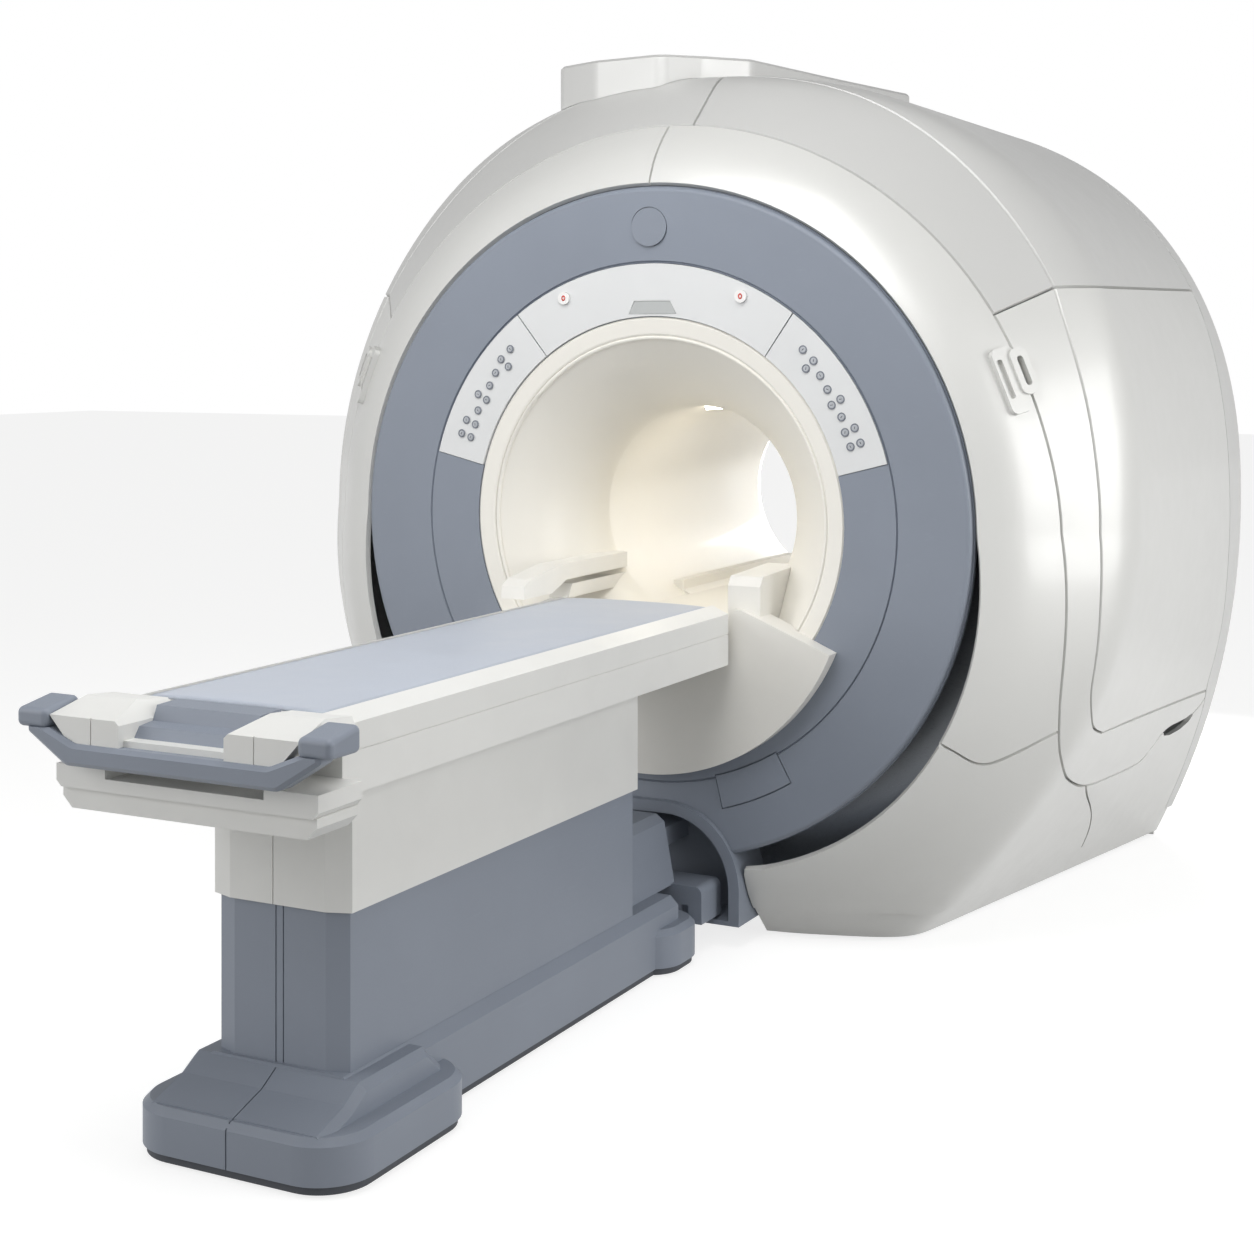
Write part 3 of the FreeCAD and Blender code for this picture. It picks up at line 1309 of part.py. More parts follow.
block = [
    (guard_y - 4, GUARD_H - 8),
    (guard_y + 14, GUARD_H + 16),
    (guard_y + 260, GUARD_H + 26),
    (guard_y + 260, GUARD_H - 129),
    (guard_y - 4, GUARD_H - 129),
]
right_block = guard(block, GUARD_X, GUARD_X + 92).cut(apron)
nodes["right_guard"] = one_solid(right_block)

lamp_profile = [
    (BORE_R - FIT, LAMP_Y - LAMP_HALF_LENGTH),
    (BORE_R - FIT, LAMP_Y + LAMP_HALF_LENGTH),
    (BORE_R - 12, LAMP_Y + LAMP_HALF_LENGTH - 6),
    (BORE_R - 12, LAMP_Y - LAMP_HALF_LENGTH + 6),
]
nodes["bore_lamp"] = ring_part(lamp_profile, 90 - LAMP_HALF_ANGLE, 90 + LAMP_HALF_ANGLE)

# ---- turret cover on the roof ----
roof_rows = []
for i in range(31):
    angle = math.radians(50 + 80 * i / 30)
    roof_rows.append([(150 + (REAR_SEAM_DEPTH - 100) * t / 29, angle) for t in range(30)])
roof = cover(roof_rows, outer=-3 * FIT, wall=150)
turret_root = 1100.0  # under the covers, over the bore axis
roof_outline = [
    V(x, MID_Y + y, 0)
    for x, y in (
        (-548, 630),
        (-538, -400),
        (-482, -500),
        (-330, -570),
        (-107, -602),
        (-12, -508),
        (84, -386),
        (150, 145),
        (222, 630),
    )
]
roof_corners = [40, 60, 60, 90, 60, 120, 60, 300, 40]


def roof_prism(wall, top, bevel):
    face = Part.Face(round_wire(roof_outline, roof_corners))
    if wall:
        face = face.makeOffset2D(-wall)
    face.translate(V(0, 0, ISO_Z + turret_root))
    solid = face.extrude(V(0, 0, top - turret_root))
    return bevelled(solid, ISO_Z + top, bevel) if bevel else solid


def bevelled(solid, top_z, bevel):
    edges = [e for e in solid.Edges if all(abs(v.Z - top_z) < 1e-4 for v in e.Vertexes)]
    return solid.makeChamfer(bevel, edges)


turret_cover = roof_prism(0, CHIMNEY_TOP, CHIMNEY_BEVEL)
turret_cover = turret_cover.cut(roof_prism(CHIMNEY_WALL, CHIMNEY_TOP - CHIMNEY_WALL, 0))
nodes["turret_cover"] = one_solid(turret_cover.cut(roof))

# ---- hand grips at both shoulders ----
grip_depth = GRIP_DEPTH
grip_angle = angle_at(grip_depth, GRIP_Z)
grip_seat = skin_point(grip_depth, grip_angle, 0)
ahead = skin_point(grip_depth + 4, grip_angle, 0).sub(skin_point(grip_depth - 4, grip_angle, 0))
around = skin_point(grip_depth, grip_angle + 0.01, 0).sub(skin_point(grip_depth, grip_angle - 0.01, 0))
ahead.normalize()
around.normalize()
normal = ahead.cross(around)
if normal.x < 0:
    normal = normal.negative()
around = normal.cross(ahead)
grip_frame = FreeCAD.Matrix(
    ahead.x, around.x, normal.x, grip_seat.x,
    ahead.y, around.y, normal.y, grip_seat.y,
    ahead.z, around.z, normal.z, grip_seat.z,
    0, 0, 0, 1,
)


def rounded_block(x0, x1, y0, y1, z0, z1, radius):
    points = [V(x0, y0, z0), V(x1, y0, z0), V(x1, y1, z0), V(x0, y1, z0)]
    return rounded_prism(points, [radius] * 4, V(0, 0, z1 - z0))


half_height = GRIP_HEIGHT / 2
grip = rounded_block(-36, 26, -half_height, half_height, -30, GRIP_PROUD, 16)
grip = grip.cut(rounded_block(-33 + 4, -33 + 20, -half_height + 40, half_height - 28, 2, GRIP_PROUD + 1, 7))
loop_outer = rounded_block(8, 58, -half_height + 38, half_height - 12, -30, GRIP_PROUD + 8, 20)
loop_inner = rounded_block(24, 42, -half_height + 60, half_height - 34, -60, 90, 8)
grip = grip.fuse(loop_outer).cut(loop_inner)
grip = grip.transformed(grip_frame)
bezel_block = cover(bezel_grid, outer=-FIT, wall=60, edges=(-1, -1))
frame_block = cover(frame_grid, outer=-FIT, wall=60, edges=(-1, -1))
grip_right = grip.cut(bezel_block).cut(frame_block)
grip_right = max(grip_right.Solids, key=lambda s: s.Volume)
nodes["hand_grips"] = Part.makeCompound([grip_right, mirrored(grip_right)])

# ---- table base ----
def base_plan(half, y0, y1, radius, z0, z1):
    points = [V(-half, y0, z0), V(half, y0, z0), V(half, y1, z0), V(-half, y1, z0)]
    return rounded_prism(points, [radius] * 4, V(0, 0, z1 - z0))


foot = bevelled(
    base_plan(FOOT_HALF, FOOT_FRONT_Y, FOOT_REAR_Y, FOOT_ROUND, BASE_LOW_Z, FOOT_TOP_Z),
    FOOT_TOP_Z,
    BASE_BEVEL,
)
lobe = bevelled(
    base_plan(LOBE_HALF, LOBE_FRONT_Y, LOBE_REAR_Y, LOBE_ROUND, BASE_LOW_Z, LOBE_TOP_Z),
    LOBE_TOP_Z,
    BASE_BEVEL,
)
beam_section = [
    (-BEAM_HALF, BASE_LOW_Z),
    (-BEAM_HALF, BASE_TOP_Z - BEAM_CHAMFER),
    (-BEAM_HALF + BEAM_CHAMFER, BASE_TOP_Z),
    (BEAM_HALF - BEAM_CHAMFER, BASE_TOP_Z),
    (BEAM_HALF, BASE_TOP_Z - BEAM_CHAMFER),
    (BEAM_HALF, BASE_LOW_Z),
]
BEAM_REAR_Y = LOBE_REAR_Y - LOBE_ROUND
beam = prism_y(beam_section, COLUMN_FRONT_Y, BEAM_REAR_Y)
ramp = [
    (FOOT_FRONT_Y + 22, FOOT_TOP_Z - 30),
    (FOOT_FRONT_Y + 22, FOOT_TOP_Z + 2),
    (FOOT_FRONT_Y + 110, FOOT_TOP_Z + 30),
    (COLUMN_FRONT_Y + 2, BASE_TOP_Z - 4),
    (FOOT_REAR_Y - 120, BASE_TOP_Z - 4),
    (FOOT_REAR_Y - 20, FOOT_TOP_Z - 30),
]
ramp_solid = prism_x(ramp, -BEAM_HALF - 30, BEAM_HALF + 30)
ramp_edges = [
    e
    for e in ramp_solid.Edges
    if abs(e.CenterOfMass.x) > BEAM_HALF + 20 and e.CenterOfMass.z > FOOT_TOP_Z and e.Length > 50
]
ramp_solid = ramp_solid.makeChamfer(16, ramp_edges)
base = foot.multiFuse([lobe, beam, ramp_solid])
wall = BASE_WALL
for half, y0, y1, radius, top in (
    (FOOT_HALF, FOOT_FRONT_Y, FOOT_REAR_Y, FOOT_ROUND, FOOT_TOP_Z),
    (LOBE_HALF, LOBE_FRONT_Y, LOBE_REAR_Y, LOBE_ROUND, LOBE_TOP_Z),
):
    base = base.cut(
        base_plan(half - wall, y0 + wall, y1 - wall, radius - wall, 0, top - BASE_BEVEL - wall)
    )
base = base.cut(
    box(
        -BEAM_HALF + wall,
        BEAM_HALF - wall,
        COLUMN_FRONT_Y + wall,
        BEAM_REAR_Y - wall,
        0,
        FOOT_TOP_Z - BASE_BEVEL - wall,
    )
)
foot_seam = box(-1.5, 1.5, FOOT_FRONT_Y - 5, COLUMN_FRONT_Y - 1, BASE_LOW_Z - 1, BASE_TOP_Z + 9)
base_inner = box(
    -9, 9, FOOT_FRONT_Y + 4, COLUMN_FRONT_Y, 0, FOOT_TOP_Z - 4
).fuse(prism_x([(y + 3, z - 4) for y, z in ramp], -9, 9))
base = one_solid(base.cut(foot_seam.cut(base_inner)))
wells = FOOT_TOP_Z - BASE_BEVEL - BASE_WALL
nodes["table_base"] = base

# dark skirt round the bottom of the base
skirt_parts = []
for half, y0, y1, radius in (
    (FOOT_HALF, FOOT_FRONT_Y, FOOT_REAR_Y, FOOT_ROUND),
    (LOBE_HALF, LOBE_FRONT_Y, LOBE_REAR_Y, LOBE_ROUND),
):
    inset = SKIRT_INSET
    loop = base_plan(half - inset, y0 + inset, y1 - inset, radius - inset, SKIRT_LOW_Z, BASE_LOW_Z)
    inset += 8
    skirt_parts.append(
        loop.cut(base_plan(half - inset, y0 + inset, y1 - inset, radius - inset, 0, BASE_LOW_Z + 1))
    )
frame_z = BASE_LOW_Z
for side in (-1, 1):
    x0, x1 = sorted((side * (BEAM_HALF - SKIRT_INSET), side * (BEAM_HALF - SKIRT_INSET - 8)))
    skirt_parts.append(
        box(x0, x1, FOOT_REAR_Y - SKIRT_INSET - 20, LOBE_FRONT_Y + SKIRT_INSET + 20, SKIRT_LOW_Z, BASE_LOW_Z)
    )
skirt = skirt_parts[0].multiFuse(skirt_parts[1:])
rim_band = []
nodes["base_skirt"] = one_solid(skirt)

# chassis plates that carry the casters, under the roof of the base
fork_plate = 5.0
plate_z = wells - 6
chassis = box(
    -CASTER_X - 50, CASTER_X + 50, CASTER_Y - 60, CASTER_Y + 60, plate_z, wells
)
chassis = chassis.fuse(box(-CASTER_X - 30, CASTER_X + 30, FIXED_WHEEL_Y - 35, FIXED_WHEEL_Y + 35, plate_z, wells))
chassis = chassis.fuse(
    box(-70, 70, CASTER_Y + 60, FIXED_WHEEL_Y - 35, plate_z, wells)
)
for side in (-1, 1):
    pin_hole = Part.makeCylinder(
        CASTER_PIN_R + BUTTON_CLEARANCE / 2, 20, V(side * CASTER_X, CASTER_Y, plate_z - 1)
    )
    chassis = chassis.cut(pin_hole)
    for edge in (-1, 1):
        x = side * CASTER_X + edge * (WHEEL_WIDTH / 2 + 3.5)
        cheek = box(x - 2.5, x + 2.5, FIXED_WHEEL_Y - 12, FIXED_WHEEL_Y + 12, WHEEL_R - 12, plate_z)
        chassis = chassis.fuse(cheek)
    axle_length = WHEEL_WIDTH + 12
    axle = Part.makeCylinder(
        AXLE_R, axle_length, V(side * CASTER_X - axle_length / 2, FIXED_WHEEL_Y, WHEEL_R), V(1, 0, 0)
    )
    chassis = chassis.fuse(axle)
nodes["chassis"] = one_solid(chassis)


def wheel_at(x, y):
    wheel = Part.makeCylinder(WHEEL_R, WHEEL_WIDTH, V(x - WHEEL_WIDTH / 2, y, WHEEL_R), V(1, 0, 0))
    hole = Part.makeCylinder(AXLE_R + 0.25, WHEEL_WIDTH + 2, V(x - WHEEL_WIDTH / 2 - 1, y, WHEEL_R), V(1, 0, 0))
    rim = [e for e in wheel.Edges if e.Curve.TypeId == "Part::GeomCircle"]
    return wheel.makeFillet(3, rim).cut(hole)


for side, name in ((-1, "left"), (1, "right")):
    x = side * CASTER_X
    wheel_y = CASTER_Y - CASTER_TRAIL
    plate = Part.makeCylinder(26, fork_plate, V(x, CASTER_Y, plate_z - FIT - fork_plate))
    pin = Part.makeCylinder(CASTER_PIN_R, 6 + FIT, V(x, CASTER_Y, plate_z - FIT))
    fork = plate.fuse(pin)
    for edge in (-1, 1):
        x_cheek = x + edge * (WHEEL_WIDTH / 2 + 3.5)
        cheek = [
            (CASTER_Y - 14, plate_z - FIT - 1),
            (CASTER_Y + 14, plate_z - FIT - 1),
            (wheel_y + 11, WHEEL_R - 9),
            (wheel_y - 11, WHEEL_R - 9),
        ]
        fork = fork.fuse(prism_x(cheek, x_cheek - 2.5, x_cheek + 2.5))
    axle = Part.makeCylinder(AXLE_R, axle_length, V(x - axle_length / 2, wheel_y, WHEEL_R), V(1, 0, 0))
    nodes["caster_fork_" + name] = one_solid(fork.fuse(axle))
    nodes["caster_wheel_" + name] = wheel_at(x, wheel_y)
    nodes["dock_wheel_" + name] = wheel_at(x, FIXED_WHEEL_Y)


# ---- column and lift ----
def column_plan(inset, z0, z1):
    half, y0, y1 = COLUMN_HALF_WIDTH - inset, COLUMN_FRONT_Y + inset, COLUMN_REAR_Y - inset
    cut = COLUMN_CHAMFER - inset * 0.6
    points = [
        (-half, y0 + cut * 0.35),
        (-half + cut, y0),
        (half - cut, y0),
        (half, y0 + cut * 0.35),
        (half, y1 - cut * 0.35),
        (half - cut, y1),
        (-half + cut, y1),
        (-half, y1 - cut * 0.35),
    ]
    return prism_z(points, z0, z1)


lower = column_plan(COLUMN_STEP, BASE_TOP_Z, LOWER_COLUMN_TOP)
lower = lower.cut(column_plan(COLUMN_STEP + COLUMN_WALL, BASE_TOP_Z - 1, LOWER_COLUMN_TOP + 1))
for x in (-9, 9):
    groove_y = COLUMN_FRONT_Y + COLUMN_STEP
    lower = lower.cut(box(x - 1.5, x + 1.5, groove_y - 1, groove_y + 2.5, BASE_TOP_Z - 1, FAR))
nodes["lower_column"] = lower
upper = column_plan(0, COLUMN_SPLIT_Z, TABLE_UNDERSIDE_Z)
upper = upper.cut(column_plan(COLUMN_WALL, COLUMN_SPLIT_Z - 1, TABLE_UNDERSIDE_Z + 1))
slot_y = COLUMN_FRONT_Y
upper = upper.cut(box(-10.5, -7.5, slot_y - 1, slot_y + 2.5, COLUMN_SPLIT_Z - 1, FAR))
pad_x = COLUMN_HALF_WIDTH - COLUMN_STEP + FIT
for side in (-1, 1):
    for y in (COLUMN_FRONT_Y + 120, COLUMN_REAR_Y - 180):
        x0, x1 = sorted((side * pad_x, side * (COLUMN_HALF_WIDTH - COLUMN_WALL + 1)))
        upper = upper.fuse(box(x0, x1, y, y + 60, COLUMN_SPLIT_Z + 4, COLUMN_SPLIT_Z + 44))
nodes["upper_column"] = upper
barrel_y = (COLUMN_FRONT_Y + COLUMN_REAR_Y) / 2
barrel = Part.makeCylinder(BARREL_R, LOWER_COLUMN_TOP - 10 - BASE_TOP_Z, V(0, barrel_y, BASE_TOP_Z))
ram_low = LOWER_COLUMN_TOP - 60
barrel = barrel.cut(
    Part.makeCylinder(RAM_R + FIT, FAR, V(0, barrel_y, ram_low - LIFT_TRAVEL - 8))
)
nodes["table_base"] = one_solid(nodes["table_base"].fuse(barrel))

# ---- table top ----
deck_z = ISO_Z + deck_h
rail_top_z = ISO_Z + RAIL_TOP_H
ledge_z = ISO_Z + CRADLE_LEDGE - 4
TROUGH_WALL = 8.0
frame_profile = [
    (-TABLE_HALF_WIDTH, RAIL_SEAM_Z - 13),
    (-TABLE_HALF_WIDTH, rail_top_z - RAIL_FALL),
    (-RAIL_INNER_X, rail_top_z),
    (-RAIL_INNER_X, ledge_z),
    (-TROUGH_HALF, ledge_z),
    (-TROUGH_HALF, deck_z),
    (TROUGH_HALF, deck_z),
    (TROUGH_HALF, ledge_z),
    (RAIL_INNER_X, ledge_z),
    (RAIL_INNER_X, rail_top_z),
    (TABLE_HALF_WIDTH, rail_top_z - RAIL_FALL),
    (TABLE_HALF_WIDTH, RAIL_SEAM_Z - 13),
]
frame = prism_y(frame_profile, TABLE_FOOT_Y, TABLE_HEAD_Y)
frame = frame.fuse(
    prism_y(
        [
            (-RAIL_INNER_X + 2, rail_top_z - 9),
            (-RAIL_INNER_X + 2, deck_z - 8),
            (RAIL_INNER_X - 2, deck_z - 8),
            (RAIL_INNER_X - 2, rail_top_z - 9),
        ],
        TABLE_FOOT_Y,
        CRADLE_FOOT_Y - 1.5,
    )
)
inner_half = TABLE_HALF_WIDTH - TABLE_WALL
frame = frame.cut(
    box(
        -inner_half,
        inner_half,
        TABLE_FOOT_Y + TABLE_WALL,
        TABLE_HEAD_Y - TABLE_WALL,
        RAIL_SEAM_Z - 20,
        deck_z - TROUGH_WALL,
    )
)
rail_groove = SEAM / 2
frame_groove = [
    box(side * TABLE_HALF_WIDTH - 2.5, side * TABLE_HALF_WIDTH + 2.5, -FAR * 2, FAR, RAIL_SEAM_Z - 14, RAIL_SEAM_Z - 10)
    for side in (-1, 1)
]
frame = frame.cut(frame_groove[0].fuse(frame_groove[1]))
nodes["table_frame"] = one_solid(frame)
skirt_box = box(
    -TABLE_HALF_WIDTH, TABLE_HALF_WIDTH, TABLE_FOOT_Y, TABLE_HEAD_Y, TABLE_UNDERSIDE_Z, RAIL_SEAM_Z - 13
)
skirt_box = skirt_box.cut(
    box(
        -inner_half,
        inner_half,
        TABLE_FOOT_Y + TABLE_WALL,
        TABLE_HEAD_Y - TABLE_WALL,
        TABLE_UNDERSIDE_Z + 12,
        RAIL_SEAM_Z,
    )
)
nodes["table_tray"] = skirt_box.cut(column_plan(COLUMN_WALL, 0, FAR))
ram_rod = Part.makeCylinder(RAM_R, deck_z - TROUGH_WALL - ram_low, V(0, barrel_y, ram_low))
nodes["table_frame"] = one_solid(nodes["table_frame"].fuse(ram_rod))

# ---- cradle and mattress ----
cradle_length = CRADLE_HEAD_Y - CRADLE_FOOT_Y
cradle_round = rod_y(CRADLE_R, V(0, CRADLE_FOOT_Y, ISO_Z), cradle_length)
flange = box(-FAR, FAR, -FAR * 2, FAR, ISO_Z + CRADLE_LEDGE, ISO_Z + CRADLE_TOP)
body = box(
    -CRADLE_BODY_HALF, CRADLE_BODY_HALF, -FAR * 2, FAR, ISO_Z + CRADLE_BOTTOM, ISO_Z + CRADLE_TOP
)
nodes["cradle"] = one_solid(cradle_round.common(flange.fuse(body)))
top_half_width = math.sqrt(CRADLE_R**2 - MATTRESS_TOP**2) - 1.0
low_half_width = math.sqrt(CRADLE_R**2 - CRADLE_TOP**2) - 0.5
pad_low, pad_top = ISO_Z + CRADLE_TOP, ISO_Z + MATTRESS_TOP
y0 = CRADLE_FOOT_Y + 2
pad_edges = [
    Part.LineSegment(V(low_half_width, y0, pad_low), V(-low_half_width, y0, pad_low)).toShape(),
    Part.LineSegment(V(-low_half_width, y0, pad_low), V(-top_half_width, y0, pad_top - 2)).toShape(),
    Part.Arc(
        V(-top_half_width, y0, pad_top - 2), V(0, y0, pad_top - 2 + MATTRESS_CROWN), V(top_half_width, y0, pad_top - 2)
    ).toShape(),
    Part.LineSegment(V(top_half_width, y0, pad_top - 2), V(low_half_width, y0, pad_low)).toShape(),
]
nodes["mattress"] = Part.Face(Part.Wire(pad_edges)).extrude(V(0, cradle_length - 4, 0))

# ---- foot end of the table ----
def end_block(x0, x1, y0, y1, z0, z1, radius):
    """A block with its four edges along Y rounded."""
    points = [V(x0, y0, z0), V(x1, y0, z0), V(x1, y0, z1), V(x0, y0, z1)]
    return rounded_prism(points, [radius] * 4, V(0, y1 - y0, 0))


def bar_outline(grow):
    """The flat outline of the pull bar, as (x, z) points."""
    slope = BAR_SLOPE
    return [
        (-BAR_HALF - grow, BUMPER_LOW_Z + 2),
        (-BAR_HALF - grow, BUMPER_LOW_Z - 8),
        (-BAR_HALF + slope - grow * 0.6, BAR_Z - grow),
        (BAR_HALF - slope + grow * 0.6, BAR_Z - grow),
        (BAR_HALF + grow, BUMPER_LOW_Z - 8),
        (BAR_HALF + grow, BUMPER_LOW_Z + 2),
        (BAR_HALF - grow * 1.4, BUMPER_LOW_Z + 2),
        (BAR_HALF - slope - grow * 0.4, BAR_Z + grow),
        (-BAR_HALF + slope + grow * 0.4, BAR_Z + grow),
        (-BAR_HALF + grow * 1.4, BUMPER_LOW_Z + 2),
    ]


bar_points = [V(x, BAR_Y - BAR_R, z) for x, z in bar_outline(BAR_R)]
bar_bends = [0, 8, 30, 30, 8, 0, 0, 30, 30, 0]
bar = rounded_prism(bar_points, bar_bends, V(0, 2 * BAR_R, 0))


def flat_at(edge, y):
    box_of = edge.BoundBox
    return abs(box_of.YMin - y) < 1e-6 and abs(box_of.YMax - y) < 1e-6


bar_rims = [
    e
    for e in bar.Edges
    if flat_at(e, BAR_Y - BAR_R) and not (e.BoundBox.ZLength < 1e-6 and e.BoundBox.ZMin > BUMPER_LOW_Z)
]
bar = bar.makeChamfer(8, bar_rims)
bumper_side = [
    (END_FRONT_Y, BUMPER_LOW_Z),
    (END_FRONT_Y, BUMPER_FRONT_Z),
    (END_FRONT_Y + BUMPER_DEPTH, BUMPER_REAR_Z),
    (END_FRONT_Y + BUMPER_DEPTH, BUMPER_LOW_Z),
]
bumper = prism_x(bumper_side, BLOCK_OUTER_X, BUMPER_OUTER_X)
bumper = bumper.makeFillet(12, bumper.Edges)

# white blocks at the corners, joined by a strip under the grey step
block_low = BAR_Z + BAR_R - 4
block_outline = [
    (BLOCK_INNER_X, block_low),
    (BLOCK_OUTER_X - 50, block_low),
    (BLOCK_OUTER_X, block_low + 52),
    (BLOCK_OUTER_X - 14, END_TOP_Z),
    (BLOCK_INNER_X + 44, END_TOP_Z),
    (BLOCK_INNER_X, END_TOP_Z - 42),
]
block_y = END_FRONT_Y + 12
end_right = prism_y(block_outline, block_y, TABLE_FOOT_Y)
slope_cut = [
    (block_y - 1, END_TOP_Z - 34),
    (block_y - 1, END_TOP_Z + 1),
    (TABLE_FOOT_Y + 1, END_TOP_Z + 1),
    (TABLE_FOOT_Y + 1, ISO_Z + RAIL_TOP_H),
    (block_y + 90, ISO_Z + RAIL_TOP_H + 8),
]
end_right = end_right.cut(prism_x(slope_cut, 0, FAR)).cut(bar)
end_seam = box(BLOCK_INNER_X + 66, BLOCK_INNER_X + 68.5, block_y - 1, block_y + 4, block_low - 1, END_TOP_Z)
end_right = end_right.cut(end_seam)
strip_top = block_low + 16
end_strip = box(-BLOCK_INNER_X, BLOCK_INNER_X, block_y + 14, TABLE_FOOT_Y, block_low, strip_top).cut(bar)
nodes["end_blocks"] = one_solid(end_right.multiFuse([mirrored(end_right), end_strip]))
nodes["pull_bar"] = one_solid(bar.multiFuse([bumper, mirrored(bumper)]))
step_z = ISO_Z + MATTRESS_TOP - 2
foot_step = [
    (TABLE_FOOT_Y, step_z),
    (TABLE_FOOT_Y - 62, step_z - 2),
    (TABLE_FOOT_Y - 74, step_z - 30),
    (TABLE_FOOT_Y - 112, step_z - 34),
    (TABLE_FOOT_Y - 126, strip_top),
    (TABLE_FOOT_Y, strip_top),
]
nodes["foot_step"] = prism_x(foot_step, -BLOCK_INNER_X, BLOCK_INNER_X)
tray_top = BAR_Z - BAR_R - 8
tray_mid = TABLE_UNDERSIDE_Z - 8
tray_low = TABLE_UNDERSIDE_Z - TRAY_DROP
tray_y = END_FRONT_Y + 46


def tray_part(half, y0, low, top, corner):
    outline = [
        (-half, top),
        (-half, low + corner),
        (-half + corner, low),
        (half - corner, low),
        (half, low + corner),
        (half, top),
    ]
    return prism_y(outline, y0, TABLE_FOOT_Y)


slot = box(-SLOT_HALF, SLOT_HALF, tray_y - 1, tray_y + SLOT_DEPTH, tray_top - 20, tray_top + 1)
tray = tray_part(TRAY_HALF, tray_y, tray_mid, tray_top, 12).cut(slot)
tray = tray.fuse(tray_part(TRAY_HALF - TRAY_INSET, tray_y + TRAY_INSET, tray_low, tray_mid, 22))
nodes["table_tray"] = one_solid(nodes["table_tray"].fuse(tray))

# docking head at the gantry end, with its tongue and the block that enters the dock
head_y = COLUMN_REAR_Y + 1.0  # clear of the upper column as it comes down
head_high = [
    (-HEAD_HALF, BASE_TOP_Z),
    (-HEAD_TOP_HALF - 4, HEAD_TOP_Z - 18),
    (-HEAD_TOP_HALF + 20, HEAD_TOP_Z),
    (HEAD_TOP_HALF - 20, HEAD_TOP_Z),
    (HEAD_TOP_HALF + 4, HEAD_TOP_Z - 18),
    (HEAD_HALF, BASE_TOP_Z),
]
head_low_y = LOBE_REAR_Y + 1.0
head_low = [
    V(-HEAD_LOW_HALF, head_low_y, HEAD_LOW_Z),
    V(-HEAD_LOW_HALF, head_low_y, HEAD_STEP_Z),
    V(HEAD_LOW_HALF, head_low_y, HEAD_STEP_Z),
    V(HEAD_LOW_HALF, head_low_y, HEAD_LOW_Z),
]
head_low_end = FRONT_Y + 14
head_low = rounded_prism(head_low, [0, 20, 20, 0], V(0, head_low_end - head_low_y, 0))
tongue = box(
    -TONGUE_HALF, TONGUE_HALF, head_low_y, FRONT_Y + DOCK_DEPTH - 8, TONGUE_Z, TONGUE_Z + TONGUE_HEIGHT
)
head = prism_y(head_high, head_y, head_low_y + 20).multiFuse([head_low, tongue])
nodes["docking_head"] = one_solid(
    head.cut(box(HEAD_LOW_HALF - 60, HEAD_LOW_HALF - 38, head_low_y - 1, head_low_y + 16, 96, 128))
)

# ---- write the pieces ----
os.makedirs("parts", exist_ok=True)
for name, shape in nodes.items():
    shape.exportStep(f"parts/{name}.step")
    print(name, shape.isValid(), len(shape.Solids), round(shape.Volume / 1000))
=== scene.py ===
"""An MRI scanner: a gantry with a round bore and a dockable patient table.

Laid out as an add-on: property groups hold the sizes and colours, one operator makes
each group of like pieces, and a panel in the 3D view's sidebar lists them.
Metres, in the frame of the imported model.
"""

import math

import bmesh
import bpy
from bpy.props import FloatProperty, FloatVectorProperty, PointerProperty
from mathutils import Matrix, Vector


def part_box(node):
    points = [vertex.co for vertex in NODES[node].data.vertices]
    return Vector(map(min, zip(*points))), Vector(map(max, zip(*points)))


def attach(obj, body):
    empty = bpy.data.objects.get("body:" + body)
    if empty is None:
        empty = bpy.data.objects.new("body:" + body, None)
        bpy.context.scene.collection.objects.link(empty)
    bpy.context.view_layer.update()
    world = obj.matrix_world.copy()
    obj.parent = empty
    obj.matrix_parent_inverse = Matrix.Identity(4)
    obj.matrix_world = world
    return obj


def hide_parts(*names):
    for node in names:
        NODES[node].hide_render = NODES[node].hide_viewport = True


bl_info = {
    "name": "MRI Scanner",
    "version": (1, 0, 0),
    "blender": (4, 5, 0),
    "location": "View3D > Sidebar > Scanner",
    "description": "Finishes and details of an MRI scanner and its patient table",
    "category": "Object",
}

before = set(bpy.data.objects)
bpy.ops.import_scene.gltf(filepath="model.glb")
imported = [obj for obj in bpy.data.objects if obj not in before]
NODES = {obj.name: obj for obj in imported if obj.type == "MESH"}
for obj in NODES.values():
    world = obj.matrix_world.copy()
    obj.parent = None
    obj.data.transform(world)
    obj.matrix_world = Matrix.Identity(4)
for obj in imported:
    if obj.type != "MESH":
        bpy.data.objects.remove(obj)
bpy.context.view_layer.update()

# ---- the ring's face, which carries the keys ----
ISO_Z = 1.11  # height of the bore's axis
FRONT_Y = -0.88  # plane of the ring's rim
PANEL_INNER_R = 0.549  # inner radius of the key panels
FACE_DISH = 0.025  # how far behind the rim the face lies at the panels' inner radius
FACE_SLOPE = 0.095  # how far the face comes forward for each metre of radius
PANEL_PROUD = 0.002  # how far the panels stand out of the face

